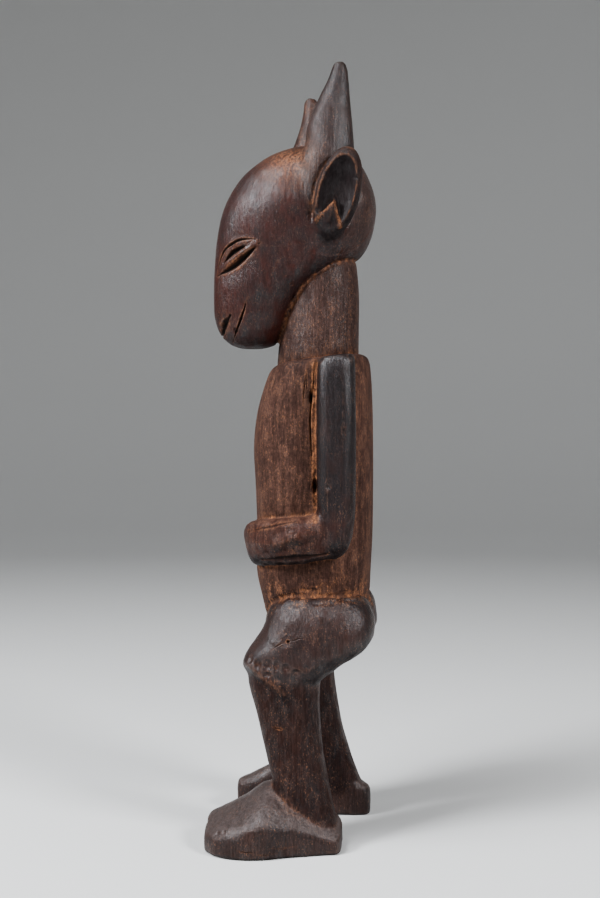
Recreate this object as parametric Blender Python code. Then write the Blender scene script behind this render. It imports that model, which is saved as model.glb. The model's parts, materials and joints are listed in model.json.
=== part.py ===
"""Standing wooden figure with a horned antelope head, carved from one block of wood.

Metres, +Z up. The figure looks along -Y, its left side is +X, and its soles stand on Z = 0.
Carved sizes are written in carver's units. There are 300 of them in the figure's height,
so on a 300 mm figure a unit is one millimetre.
"""

import math

import bmesh
import bpy
from mathutils import Matrix, Vector

HEIGHT = 0.300
UNITS_IN_HEIGHT = 300
UNIT = HEIGHT / UNITS_IN_HEIGHT

# Pose: the head looks a little to its left, and the right foot stands a little behind the left.
HEAD_TURN = math.radians(10)
NECK_AXIS_Y = 7.5
RIGHT_FOOT_BACK = 9.5
RIGHT_FOOT_TALLER = 1.15
RIGHT_FOOT_LONGER = 1.075
RIGHT_HORN_FORWARD = 6.3

# Heights that more than one form is measured from.
SOLE = 0.0
KNEE = 69.0
HIP = 84.0
FOREARM = 115.0
CHEST = 145.0
SHOULDER = 185.0
SHOULDER_SLOPE = 0.13

# How finely the forms are cut.
BODY_SIDES = 24
LIMB_SIDES = 16
HORN_SIDES = 12
STEPS_BETWEEN_LEVELS = 2
HEAD_STEPS_BETWEEN_LEVELS = 1
EAR_SEGMENTS = 16
EAR_RINGS = 12
EAR_TONGUE_SIDES = 8
FACE_CUT_SIDES = 6
FACE_CUT_STEPS = 2

# How nearly square the cuts across a form are. 2 is an ellipse, and 6 is nearly a box.
TORSO_SQUARENESS = 2.7
NECK_SQUARENESS = 2.2
HEAD_SQUARENESS = 2.25
HORN_SQUARENESS = 2.0
UPPER_ARM_SQUARENESS = 3.2
FOREARM_SQUARENESS = 2.8
PELVIS_SQUARENESS = 2.6
LEG_SQUARENESS = 2.8
FOOT_SQUARENESS = 3.4
EAR_TONGUE_SQUARENESS = 3.0
FACE_CUT_SQUARENESS = 2.0

SHARP_EDGE = math.radians(40)
WOOD_COLOUR = (0.095, 0.052, 0.036, 1.0)
WOOD_ROUGHNESS = 0.45

# Level cuts of the middle forms: (height, front, back, half width), and the head's pinch towards the face.
TORSO = [
    (80.0, -11.5, 25.5, 22.0),
    (92.0, -14.4, 27.6, 25.5),
    (104.0, -17.0, 28.4, 27.0),
    (120.0, -16.6, 29.2, 28.0),
    (136.0, -17.2, 29.3, 28.8),
    (152.0, -18.0, 29.3, 29.5),
    (166.0, -16.8, 29.1, 30.0),
    (176.0, -14.2, 28.8, 30.0),
    (183.0, -11.4, 28.0, 29.4),
    (SHOULDER, -9.0, 25.8, 27.0),
]

NECK = [
    (176.0, -9.2, 23.8, 16.5),
    (186.0, -8.8, 23.8, 16.2),
    (200.0, -7.6, 23.8, 15.8),
    (214.0, -5.0, 23.8, 15.5),
    (232.0, -2.0, 22.0, 15.0),
]

HEAD = [
    (191.6, -24.0, -15.0, 3.5, 0.0),
    (193.4, -28.4, -9.5, 7.6, 0.10),
    (198.0, -32.4, -6.2, 11.2, 0.20),
    (204.0, -34.2, -3.6, 13.8, 0.28),
    (210.0, -34.6, 0.5, 16.4, 0.34),
    (216.0, -34.6, 6.5, 19.4, 0.38),
    (222.0, -34.4, 15.5, 22.6, 0.42),
    (228.0, -34.0, 24.0, 25.4, 0.42),
    (234.0, -33.4, 27.8, 27.2, 0.38),
    (240.0, -32.4, 29.6, 28.0, 0.33),
    (246.0, -30.8, 30.4, 28.0, 0.27),
    (252.0, -28.2, 29.8, 26.8, 0.20),
    (258.0, -24.2, 27.8, 24.4, 0.13),
    (263.0, -19.2, 25.4, 21.0, 0.08),
    (267.4, -13.0, 22.0, 16.5, 0.04),
    (270.6, -5.0, 16.5, 10.5, 0.0),
    (271.6, 2.0, 11.0, 4.0, 0.0),
]

PELVIS = [
    (72.0, -5.0, 20.0, 10.0),
    (77.0, -9.0, 25.0, 18.0),
    (HIP, -11.6, 27.0, 26.0),
    (91.0, -12.6, 26.5, 27.5),
    (97.0, -11.0, 25.0, 24.0),
]

# Level cuts of what comes in pairs, for the left side: (height, front, back, inner side, outer side).
# The horns are in the head's own frame, before it turns. The right one is blunt and a little shorter.
HORN_ROOT = [
    (230.0, 2.0, 11.0, 8.0, 18.0),
    (238.0, -2.2, 13.6, 8.0, 23.4),
    (246.0, -4.8, 16.5, 8.5, 25.4),
    (254.0, -4.8, 18.6, 9.0, 26.2),
    (262.0, -2.4, 19.6, 10.0, 26.4),
    (269.0, 0.4, 19.2, 11.6, 26.0),
]
LEFT_HORN = HORN_ROOT + [
    (276.0, 1.8, 18.4, 13.2, 25.4),
    (285.0, 5.6, 17.2, 15.2, 24.8),
    (293.0, 9.4, 16.8, 17.0, 24.0),
    (298.8, 11.0, 16.4, 18.0, 23.2),
    (300.0, 12.2, 15.4, 19.2, 22.0),
]
RIGHT_HORN = HORN_ROOT + [
    (276.0, 4.6, 17.4, 13.2, 25.0),
    (285.0, 7.8, 16.2, 15.2, 24.4),
    (292.0, 9.4, 15.8, 17.0, 23.6),
    (296.8, 10.0, 15.6, 17.6, 23.4),
    (298.6, 11.4, 14.4, 19.0, 22.0),
]

UPPER_ARM = [
    (112.5, 14.5, 19.5, 26.0, 33.0),
    (114.5, 11.5, 21.2, 24.0, 35.6),
    (120.0, 9.6, 22.8, 23.0, 36.8),
    (130.0, 9.2, 23.6, 22.5, 37.0),
    (149.0, 8.8, 23.8, 22.0, 36.8),
    (168.0, 8.8, 23.6, 21.5, 36.2),
    (182.0, 9.2, 23.4, 20.0, 35.2),
    (184.6, 11.0, 22.0, 19.0, 32.5),
]

THIGH = [
    (55.0, -10.0, 0.0, 12.0, 25.0),
    (59.5, -13.6, 6.0, 7.0, 30.6),
    (64.5, -17.2, 12.5, 4.8, 32.9),
    (KNEE, -20.2, 18.5, 3.5, 34.0),
    (74.0, -18.4, 26.0, 2.5, 34.2),
    (79.0, -14.8, 29.8, 1.5, 33.8),
    (HIP, -12.0, 30.6, 0.4, 33.0),
    (90.0, -10.5, 29.2, -0.8, 31.0),
    (95.0, -7.0, 26.0, 2.0, 27.5),
]

SHIN = [
    (0.6, -7.0, 17.6, 14.5, 32.5),
    (6.0, -7.0, 16.8, 13.5, 32.0),
    (14.0, -7.0, 15.2, 12.0, 31.0),
    (24.0, -8.4, 12.8, 10.5, 30.4),
    (36.0, -11.4, 10.6, 9.0, 30.2),
    (50.0, -14.8, 9.6, 7.0, 31.2),
    (64.0, -18.2, 9.4, 5.4, 32.6),
    (70.0, -16.0, 8.0, 6.4, 31.6),
]

# Cuts across the foot from toe to heel: (y, inner side, outer side, height).
FOOT = [
    (-33.6, 18.5, 31.5, 8.8),
    (-32.6, 15.5, 34.4, 9.8),
    (-28.0, 13.6, 39.0, 11.6),
    (-20.0, 13.2, 41.8, 15.2),
    (-10.0, 13.0, 41.2, 20.8),
    (0.0, 13.0, 37.5, 18.0),
    (10.0, 13.2, 34.4, 12.6),
    (16.6, 14.4, 32.8, 9.4),
    (18.2, 17.0, 30.0, 7.4),
]
FOOT_SLOPE_OUT = 0.26
FOOT_MIDDLE_HEIGHT = 0.35

# The forearm is thinner at its underside by this share.
FOREARM_UNDERCUT = 0.45

# The forearm's middle line from elbow to fist: (x, y, height), then its half height and half thickness.
FOREARM_LINE = [
    (28.0, 21.0, FOREARM + 5.5, 5.0, 5.8),
    (29.2, 18.0, FOREARM + 3.6, 8.2, 7.6),
    (30.0, 11.0, FOREARM + 3.2, 8.6, 8.0),
    (30.2, 3.0, FOREARM + 2.0, 9.0, 8.0),
    (28.2, -5.5, FOREARM + 1.2, 9.0, 7.6),
    (21.0, -12.6, FOREARM + 0.2, 8.9, 7.2),
    (13.0, -15.2, FOREARM - 0.6, 8.4, 6.8),
    (6.0, -16.0, FOREARM - 1.2, 7.8, 6.2),
    (1.6, -16.0, FOREARM - 1.2, 5.4, 4.2),
]

# The ear's leaf and its hollow. A pointed wedge is left standing in the foot of the hollow.
EAR_CENTRE = Vector((26.9, 12.0, 248.0))
EAR_HALF_LENGTH = 18.0
EAR_HALF_WIDTH = 8.7
EAR_HALF_THICKNESS = 7.0
EAR_LEAN_BACK = math.radians(17)
EAR_OPEN_FORWARD = math.radians(12)
EAR_FLARE = math.radians(14)
EAR_RIM = 1.3
EAR_HOLLOW = 6.0
EAR_HOLLOW_BACK = 0.25
EAR_HOLLOW_UP = 0.6

# Cuts along the wedge, in the ear's frame: (height, half thickness, half width).
EAR_TONGUE = [
    (-17.6, 0.7, 0.9),
    (-16.6, 1.8, 2.2),
    (-14.8, 3.1, 4.4),
    (-11.6, 4.4, 6.0),
    (-6.8, 4.9, 3.4),
    (-2.2, 4.4, 0.35),
]

# Lines cut into the side of the face, as (y, height) places on the skull, then their width and depth.
BROW_LINE = [(-33.4, 219.4), (-32.7, 223.4), (-30.4, 229.3), (-25.1, 232.3), (-19.6, 232.2), (-16.6, 230.8)]
UPPER_LID_LINE = [(-30.8, 223.9), (-28.4, 226.9), (-25.2, 228.9), (-20.6, 230.5)]
LOWER_LID_LINE = [(-33.2, 219.6), (-29.4, 221.2), (-25.7, 223.5), (-20.9, 227.3), (-17.0, 230.8)]
MOUTH_LINE = [(-21.6, 210.6), (-22.6, 206.8), (-23.5, 204.0), (-24.6, 200.8), (-25.8, 197.4), (-27.0, 193.6)]
NOSTRIL_LINE = [(-28.2, 203.6), (-29.9, 201.2), (-31.0, 198.6), (-31.2, 195.8)]
BROW_SIZE = (1.7, 1.4)
UPPER_LID_SIZE = (2.1, 1.5)
LOWER_LID_SIZE = (4.0, 2.0)
MOUTH_SIZE = (1.9, 1.9)
NOSTRIL_SIZE = (4.0, 2.0)
FACE_CUT_TIP = 0.25
NORMAL_STEP = 0.5


def signed_power(value, power):
    """A number raised to a power with its sign kept."""
    return math.copysign(abs(value) ** power, value)


def smooth_between(rows, steps):
    """Rows of numbers with a smooth curve through them sampled this many times a span."""
    filled = []
    last = len(rows) - 1
    for index in range(last):
        before = rows[max(index - 1, 0)]
        start, end = rows[index], rows[index + 1]
        after = rows[min(index + 2, last)]
        for step in range(steps):
            t = step / steps
            weights = (
                (-t + 2 * t**2 - t**3) / 2,
                (2 - 5 * t**2 + 3 * t**3) / 2,
                (t + 4 * t**2 - 3 * t**3) / 2,
                (t**3 - t**2) / 2,
            )
            corners = zip(before, start, end, after)
            filled.append(tuple(sum(w * value for w, value in zip(weights, four)) for four in corners))
    filled.append(tuple(rows[-1]))
    return filled


def outline(centre_a, centre_b, half_a, half_b, squareness, pinch, sides):
    """A rounded outline, narrowed towards its -b end by the pinch."""
    points = []
    for index in range(sides):
        angle = 2 * math.pi * index / sides
        a = signed_power(math.cos(angle), 2 / squareness)
        b = signed_power(math.sin(angle), 2 / squareness)
        points.append((centre_a + half_a * a * (1 - pinch * (1 - b) / 2), centre_b + half_b * b))
    return points


def finished(name, mesh):
    """A new object from a bmesh, linked to no collection yet."""
    bmesh.ops.recalc_face_normals(mesh, faces=mesh.faces)
    data = bpy.data.meshes.new(name)
    mesh.to_mesh(data)
    mesh.free()
    data.shade_smooth()
    data.set_sharp_from_angle(angle=SHARP_EDGE)
    return bpy.data.objects.new(name, data)


def loft(name, rings):
    """A closed body through rings of points, each ring with the same number of them."""
    mesh = bmesh.new()
    loops = [[mesh.verts.new(Vector(point) * UNIT) for point in ring] for ring in rings]
    count = len(loops[0])
    for lower, upper in zip(loops, loops[1:]):
        for index in range(count):
            following = (index + 1) % count
            mesh.faces.new((lower[index], lower[following], upper[following], upper[index]))
    mesh.faces.new(reversed(loops[0]))
    mesh.faces.new(loops[-1])
    return finished(name, mesh)


def level_slope(z):
    """The slope of a level cut, which is none."""
    return 0.0


def shoulder_slope(z):
    """How a cut through the chest and upper arms slopes up to the back, more so towards the shoulders."""
    return SHOULDER_SLOPE * max((z - CHEST) / (SHOULDER - CHEST), 0.0)


def upright_form(name, rows, sides, squareness, slope=level_slope, steps=STEPS_BETWEEN_LEVELS):
    """A form from cuts of (height, front, back, right, left) and, if it narrows to the front, a pinch."""
    rings = []
    for z, front, back, right, left, *pinch in smooth_between(rows, steps):
        middle_x, middle_y = (right + left) / 2, (front + back) / 2
        half_x, half_y = (left - right) / 2, (back - front) / 2
        flat = outline(middle_x, middle_y, half_x, half_y, squareness, sum(pinch), sides)
        rings.append([(x, y, z + slope(z) * y) for x, y in flat])
    return loft(name, rings)


def symmetric(rows):
    """Cuts across both sides from cuts that give a half width."""
    return [(z, front, back, -half, half, *pinch) for z, front, back, half, *pinch in rows]


def mirrored(rows):
    """Cuts of the left side turned into cuts of the right side."""
    return [(z, front, back, -outer, -inner) for z, front, back, inner, outer in rows]


def moved_back(rows, distance):
    """Cuts moved back by a distance that depends on their height."""
    return [(row[0], row[1] + distance(row[0]), row[2] + distance(row[0]), *row[3:]) for row in rows]


def leg_setback(z):
    """How far behind the left leg the right leg stands at a height."""
    return RIGHT_FOOT_BACK * max(1 - z / HIP, 0.0)


def horn_setback(z):
    """How far behind the left horn the right horn stands, which is in front of it."""
    return -RIGHT_HORN_FORWARD


def foot(name, side, back, taller, longer):
    """A foot with a flat sole, stretched from its heel. Side is 1 for the left foot and -1 for the right."""
    rings = []
    heel = FOOT[-1][0]
    for y, inner, outer, height in smooth_between(FOOT, STEPS_BETWEEN_LEVELS):
        y = heel + (y - heel) * longer + back
        height *= taller
        middle, half = (inner + outer) / 2, (outer - inner) / 2
        centre, reach = height * FOOT_MIDDLE_HEIGHT, height * (1 - FOOT_MIDDLE_HEIGHT)
        ring = []
        for x, z in outline(middle, centre, half, reach, FOOT_SQUARENESS, 0.0, LIMB_SIDES):
            z *= 1 - FOOT_SLOPE_OUT * (x - middle) / half
            ring.append((side * x, y, max(z, SOLE)))
        rings.append(ring)
    return loft(name, rings)


def forearm(name, side):
    """A forearm and fist that wrap round the belly at one height."""
    rows = smooth_between(FOREARM_LINE, STEPS_BETWEEN_LEVELS)
    last = len(rows) - 1
    rings = []
    for index, (x, y, z, half_height, half_thick) in enumerate(rows):
        before, after = rows[max(index - 1, 0)], rows[min(index + 1, last)]
        out = Vector((after[1] - before[1], before[0] - after[0], 0)).normalized()
        ring = []
        flat = outline(0.0, 0.0, half_thick, half_height, FOREARM_SQUARENESS, FOREARM_UNDERCUT, LIMB_SIDES)
        for a, b in flat:
            ring.append((side * (x + out.x * a), y + out.y * a, z + b))
        rings.append(ring)
    return loft(name, rings)


def ear_frame(side):
    """Where an ear sits in the head's own frame. Its local X points out of the ear's hollow."""
    turn = Matrix.Rotation(-EAR_OPEN_FORWARD, 4, "Z") @ Matrix.Rotation(-EAR_LEAN_BACK, 4, "X")
    left = Matrix.Translation(EAR_CENTRE) @ turn @ Matrix.Rotation(EAR_FLARE, 4, "Y")
    return left if side > 0 else Matrix.Scale(-1, 4, (1, 0, 0)) @ left


def ear_shell(name, frame, halves):
    """A smooth egg, for the ear's leaf or its hollow."""
    mesh = bmesh.new()
    place = Matrix.Scale(UNIT, 4) @ frame @ Matrix.Diagonal((*halves, 1.0))
    bmesh.ops.create_uvsphere(mesh, u_segments=EAR_SEGMENTS, v_segments=EAR_RINGS, radius=1.0, matrix=place)
    return finished(name, mesh)


def ear(name, side):
    """The ear's leaf."""
    return ear_shell(name, ear_frame(side), (EAR_HALF_THICKNESS, EAR_HALF_WIDTH, EAR_HALF_LENGTH))


def ear_hollow(name, side):
    """The scoop that leaves a rim round the ear."""
    frame = ear_frame(side) @ Matrix.Translation((EAR_HALF_THICKNESS, EAR_HOLLOW_BACK, EAR_HOLLOW_UP))
    return ear_shell(name, frame, (EAR_HOLLOW, EAR_HALF_WIDTH - EAR_RIM, EAR_HALF_LENGTH - EAR_RIM))


def ear_tongue(name, side):
    """The pointed wedge in the foot of the hollow."""
    frame = ear_frame(side)
    rings = []
    for z, half_thick, half_wide in EAR_TONGUE:
        flat = outline(0.0, 0.0, half_thick, half_wide, EAR_TONGUE_SQUARENESS, 0.0, EAR_TONGUE_SIDES)
        rings.append([frame @ Vector((x, y, z)) for x, y in flat])
    return loft(name, rings)


def skull_half_width(y, z):
    """How far out the skull's side lies at a place seen from the side."""
    rows = smooth_between(HEAD, HEAD_STEPS_BETWEEN_LEVELS)
    above = next(index for index, row in enumerate(rows) if row[0] >= z)
    low, high = rows[above - 1], rows[above]
    share = (z - low[0]) / (high[0] - low[0])
    front, back, half, pinch = (start + (end - start) * share for start, end in zip(low[1:], high[1:]))
    b = max(min((2 * y - front - back) / (back - front), 1.0), -1.0)
    a = (1 - abs(b) ** HEAD_SQUARENESS) ** (1 / HEAD_SQUARENESS)
    return half * a * (1 - pinch * (1 - b) / 2)


def face_cut(name, side, line, size):
    """A tapered cutter that follows a line on the skull's side. Size is its width and depth."""
    width, depth = size
    places = [Vector((skull_half_width(y, z), y, z)) for y, z in smooth_between(line, FACE_CUT_STEPS)]
    last = len(places) - 1
    rings = []
    for index, place in enumerate(places):
        along = (places[min(index + 1, last)] - places[max(index - 1, 0)]).normalized()
        back = skull_half_width(place.y + NORMAL_STEP, place.z) - place.x
        up = skull_half_width(place.y, place.z + NORMAL_STEP) - place.x
        out = Vector((NORMAL_STEP, -back, -up)).normalized()
        across = along.cross(out)
        taper = max(math.sin(math.pi * index / last), FACE_CUT_TIP)
        flat = outline(0.0, 0.0, width / 2 * taper, depth * taper, FACE_CUT_SQUARENESS, 0.0, FACE_CUT_SIDES)
        ring = [place + across * a + out * b for a, b in flat]
        rings.append([(side * point.x, point.y, point.z) for point in ring])
    return loft(name, rings)


def face_cuts(name, side):
    """The lines of one side's eye, mouth and nostril."""
    return [
        face_cut(f"{name}_brow_cut", side, BROW_LINE, BROW_SIZE),
        face_cut(f"{name}_upper_lid_cut", side, UPPER_LID_LINE, UPPER_LID_SIZE),
        face_cut(f"{name}_lower_lid_cut", side, LOWER_LID_LINE, LOWER_LID_SIZE),
        face_cut(f"{name}_mouth_cut", side, MOUTH_LINE, MOUTH_SIZE),
        face_cut(f"{name}_nostril_cut", side, NOSTRIL_LINE, NOSTRIL_SIZE),
    ]


def turned_head(forms):
    """Forms of the head turned about the neck."""
    pivot = Matrix.Translation((0, NECK_AXIS_Y * UNIT, 0))
    for form in forms:
        form.data.transform(pivot @ Matrix.Rotation(HEAD_TURN, 4, "Z") @ pivot.inverted())
    return forms


def head_forms():
    """Skull, horns and ears."""
    skull = symmetric(HEAD)
    right_horn = mirrored(moved_back(RIGHT_HORN, horn_setback))
    return turned_head([
        upright_form("skull", skull, BODY_SIDES, HEAD_SQUARENESS, level_slope, HEAD_STEPS_BETWEEN_LEVELS),
        upright_form("left_horn", LEFT_HORN, HORN_SIDES, HORN_SQUARENESS),
        upright_form("right_horn", right_horn, HORN_SIDES, HORN_SQUARENESS),
        ear("left_ear", 1),
        ear("right_ear", -1),
    ])


def body_forms():
    """Everything under the head but the torso."""
    right_arm = mirrored(UPPER_ARM)
    right_thigh = mirrored(moved_back(THIGH, leg_setback))
    right_shin = mirrored(moved_back(SHIN, leg_setback))
    return [
        upright_form("neck", symmetric(NECK), BODY_SIDES, NECK_SQUARENESS),
        upright_form("left_upper_arm", UPPER_ARM, LIMB_SIDES, UPPER_ARM_SQUARENESS, shoulder_slope),
        upright_form("right_upper_arm", right_arm, LIMB_SIDES, UPPER_ARM_SQUARENESS, shoulder_slope),
        forearm("left_forearm", 1),
        forearm("right_forearm", -1),
        upright_form("pelvis", symmetric(PELVIS), BODY_SIDES, PELVIS_SQUARENESS),
        upright_form("left_thigh", THIGH, LIMB_SIDES, LEG_SQUARENESS),
        upright_form("right_thigh", right_thigh, LIMB_SIDES, LEG_SQUARENESS),
        upright_form("left_shin", SHIN, LIMB_SIDES, LEG_SQUARENESS),
        upright_form("right_shin", right_shin, LIMB_SIDES, LEG_SQUARENESS),
        foot("left_foot", 1, 0.0, 1.0, 1.0),
        foot("right_foot", -1, RIGHT_FOOT_BACK, RIGHT_FOOT_TALLER, RIGHT_FOOT_LONGER),
    ]


def cutter_forms():
    """What is cut out of the block."""
    hollows = [ear_hollow("left_ear_hollow", 1), ear_hollow("right_ear_hollow", -1)]
    return turned_head(hollows + face_cuts("left", 1) + face_cuts("right", -1))


def tongue_forms():
    """What stands in the cut ears."""
    return turned_head([ear_tongue("left_ear_tongue", 1), ear_tongue("right_ear_tongue", -1)])


def new_collection(name):
    """A collection linked to the scene."""
    collection = bpy.data.collections.new(name)
    bpy.context.scene.collection.children.link(collection)
    return collection


def helpers(name, objects):
    """A collection of guide forms that join or cut the figure and aren't shown themselves."""
    collection = new_collection(name)
    for obj in objects:
        collection.objects.link(obj)
        obj.hide_render = True
        obj.display_type = "WIRE"
    return collection


def boolean(obj, name, operation, collection):
    """A Boolean of the figure with every form in a collection."""
    modifier = obj.modifiers.new(name, "BOOLEAN")
    modifier.operation = operation
    modifier.operand_type = "COLLECTION"
    modifier.collection = collection
    modifier.solver = "EXACT"


def dark_wood():
    """The worn dark wood of the whole figure."""
    material = bpy.data.materials.new("dark_wood")
    material.use_nodes = True
    shader = material.node_tree.nodes["Principled BSDF"]
    shader.inputs["Base Color"].default_value = WOOD_COLOUR
    shader.inputs["Roughness"].default_value = WOOD_ROUGHNESS
    shader.inputs["Metallic"].default_value = 0.0
    return material


def stand_on_origin(figure):
    """Moves every form together so that the carved figure stands over the origin, centred by its box."""
    carved = figure.evaluated_get(bpy.context.evaluated_depsgraph_get())
    corners = [Vector(corner) for corner in carved.bound_box]
    low = Vector([min(corner[axis] for corner in corners) for axis in range(3)])
    high = Vector([max(corner[axis] for corner in corners) for axis in range(3)])
    under = Vector(((low.x + high.x) / 2, (low.y + high.y) / 2, low.z))
    for obj in bpy.data.objects:
        obj.data.transform(Matrix.Translation(-under))


def main():
    for obj in list(bpy.data.objects):
        bpy.data.objects.remove(obj)
    figure = upright_form("antelope_figure", symmetric(TORSO), BODY_SIDES, TORSO_SQUARENESS, shoulder_slope)
    new_collection("antelope_figure").objects.link(figure)
    figure.data.materials.append(dark_wood())
    boolean(figure, "join", "UNION", helpers("carved_forms", body_forms() + head_forms()))
    boolean(figure, "carve", "DIFFERENCE", helpers("cutters", cutter_forms()))
    boolean(figure, "ear_tongues", "UNION", helpers("ear_tongues", tongue_forms()))
    stand_on_origin(figure)


main()
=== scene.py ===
"""Carves and finishes the wooden antelope figure that the frame holds, and sets a studio round it.

The carving is worked out in carver's units, 300 to the figure's height, and is in metres once it is
done. The figure looks along -Y, its left side is +X, and its soles stand on Z = 0.
"""

import json
import math
from itertools import product

import bmesh
import bpy
import numpy as np
from mathutils import Matrix, Vector, kdtree, noise
from mathutils.bvhtree import BVHTree

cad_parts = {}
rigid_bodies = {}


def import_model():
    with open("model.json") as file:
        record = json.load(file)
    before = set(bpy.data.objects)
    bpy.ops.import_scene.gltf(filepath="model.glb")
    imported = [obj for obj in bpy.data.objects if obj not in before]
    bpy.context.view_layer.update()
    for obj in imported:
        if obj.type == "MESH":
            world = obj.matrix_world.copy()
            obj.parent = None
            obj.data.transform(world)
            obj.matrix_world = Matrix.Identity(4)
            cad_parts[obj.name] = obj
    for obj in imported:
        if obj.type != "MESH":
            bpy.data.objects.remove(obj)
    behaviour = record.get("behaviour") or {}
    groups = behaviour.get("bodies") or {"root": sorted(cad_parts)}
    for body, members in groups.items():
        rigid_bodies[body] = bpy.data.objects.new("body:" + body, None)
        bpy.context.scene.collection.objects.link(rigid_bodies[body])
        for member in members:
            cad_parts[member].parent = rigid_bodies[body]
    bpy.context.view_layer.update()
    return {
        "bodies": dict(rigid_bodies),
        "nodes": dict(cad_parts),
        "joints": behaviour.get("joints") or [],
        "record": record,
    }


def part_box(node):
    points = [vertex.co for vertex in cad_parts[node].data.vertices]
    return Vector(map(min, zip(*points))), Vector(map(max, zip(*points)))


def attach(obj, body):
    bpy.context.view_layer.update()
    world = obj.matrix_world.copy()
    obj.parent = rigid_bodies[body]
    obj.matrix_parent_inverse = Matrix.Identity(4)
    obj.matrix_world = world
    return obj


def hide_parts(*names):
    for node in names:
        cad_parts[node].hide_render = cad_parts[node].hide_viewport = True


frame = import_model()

bl_info = {
    "name": "Carved antelope figure",
    "version": (1, 0, 0),
    "blender": (4, 5, 0),
    "location": "View3D > Sidebar > Carving",
    "description": "Carves, finishes and lights a wooden antelope figure",
    "category": "Object",
}

FIGURE = "antelope_figure"
UNITS_IN_HEIGHT = 300
frame_low, frame_high = (Vector(corner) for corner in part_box(FIGURE))
UNIT = (frame_high.z - frame_low.z) / UNITS_IN_HEIGHT

# Pose.
HEAD_TURN = math.radians(10)
NECK_AXIS_Y = 7.5
RIGHT_FOOT_BACK = 9.5
RIGHT_FOOT_TALLER = 1.15
RIGHT_FOOT_LONGER = 1.075
RIGHT_HORN_FORWARD = 6.3
HEAD_PIVOT = Matrix.Translation((0, NECK_AXIS_Y, 0))
HEAD_PLACE = HEAD_PIVOT @ Matrix.Rotation(HEAD_TURN, 4, "Z") @ HEAD_PIVOT.inverted()

# Heights that more than one form is measured from.
SOLE = 0.0
KNEE = 69.0
HIP = 84.0
FOREARM = 115.0
CHEST = 145.0
SHOULDER = 185.0
SHOULDER_SLOPE = 0.13

# How finely the blank's forms are turned before they are joined.
BODY_SIDES = 72
LIMB_SIDES = 48
HORN_SIDES = 40
STEPS_BETWEEN_LEVELS = 5
EAR_SEGMENTS = 48
EAR_RINGS = 36

# How nearly square the cuts across a form are. 2 is an ellipse, and 6 is nearly a box.
TORSO_SQUARENESS = 2.7
NECK_SQUARENESS = 2.2
HEAD_SQUARENESS = 2.25
HORN_SQUARENESS = 2.0
UPPER_ARM_SQUARENESS = 3.2
FOREARM_SQUARENESS = 2.8
PELVIS_SQUARENESS = 2.6
LEG_SQUARENESS = 2.8
FOOT_SQUARENESS = 3.4
EAR_TONGUE_SQUARENESS = 3.0

# Level cuts of the middle forms: (height, front, back, half width), and the head's pinch towards the face.
TORSO = [
    (80.0, -11.5, 25.5, 22.0),
    (92.0, -14.4, 27.6, 25.5),
    (104.0, -17.0, 28.4, 27.0),
    (120.0, -16.6, 29.2, 28.0),
    (136.0, -17.2, 29.3, 28.8),
    (152.0, -18.0, 29.3, 29.5),
    (166.0, -16.8, 29.1, 30.0),
    (176.0, -14.2, 28.8, 30.0),
    (183.0, -11.4, 28.0, 29.4),
    (SHOULDER, -9.0, 25.8, 27.0),
]

NECK = [
    (176.0, -9.2, 23.8, 16.5),
    (186.0, -8.8, 23.8, 16.2),
    (200.0, -7.6, 23.8, 15.8),
    (214.0, -5.0, 23.8, 15.5),
    (232.0, -2.0, 22.0, 15.0),
]

HEAD = [
    (191.6, -24.0, -15.0, 3.5, 0.0),
    (193.4, -28.4, -9.5, 7.6, 0.10),
    (198.0, -32.4, -6.2, 11.2, 0.20),
    (204.0, -34.2, -3.6, 13.8, 0.28),
    (210.0, -34.6, 0.5, 16.4, 0.34),
    (216.0, -34.6, 6.5, 19.4, 0.38),
    (222.0, -34.4, 15.5, 22.6, 0.42),
    (228.0, -34.0, 24.0, 25.4, 0.42),
    (234.0, -33.4, 27.8, 27.2, 0.38),
    (240.0, -32.4, 29.6, 28.0, 0.33),
    (246.0, -30.8, 30.4, 28.0, 0.27),
    (252.0, -28.2, 29.8, 26.8, 0.20),
    (258.0, -24.2, 27.8, 24.4, 0.13),
    (263.0, -19.2, 25.4, 21.0, 0.08),
    (267.4, -13.0, 22.0, 16.5, 0.04),
    (270.6, -5.0, 16.5, 10.5, 0.0),
    (271.6, 2.0, 11.0, 4.0, 0.0),
]

PELVIS = [
    (72.0, -5.0, 20.0, 10.0),
    (77.0, -9.0, 25.0, 18.0),
    (HIP, -11.6, 27.0, 26.0),
    (91.0, -12.6, 26.5, 27.5),
    (97.0, -11.0, 25.0, 24.0),
]

# Level cuts of what comes in pairs, for the left side: (height, front, back, inner side, outer side).
# The horns are in the head's own frame, before it turns. The right one is blunt and a little shorter.
HORN_ROOT = [
    (230.0, 2.0, 11.0, 8.0, 18.0),
    (238.0, -2.2, 13.6, 8.0, 23.4),
    (246.0, -4.8, 16.5, 8.5, 25.4),
    (254.0, -4.8, 18.6, 9.0, 26.2),
    (262.0, -2.4, 19.6, 10.0, 26.4),
    (269.0, 0.4, 19.2, 11.6, 26.0),
]
LEFT_HORN = HORN_ROOT + [
    (276.0, 1.4, 18.5, 13.2, 25.4),
    (285.0, 5.0, 17.6, 15.0, 25.0),
    (293.0, 8.8, 17.0, 16.8, 24.1),
    (298.8, 11.0, 16.4, 18.0, 23.2),
    (300.0, 12.2, 15.4, 19.2, 22.0),
]
RIGHT_HORN = HORN_ROOT + [
    (276.0, 4.6, 17.4, 13.2, 25.0),
    (285.0, 7.8, 16.2, 15.2, 24.4),
    (292.0, 9.4, 15.8, 17.0, 23.6),
    (296.8, 10.0, 15.6, 17.6, 23.4),
    (298.6, 11.4, 14.4, 19.0, 22.0),
]

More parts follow.
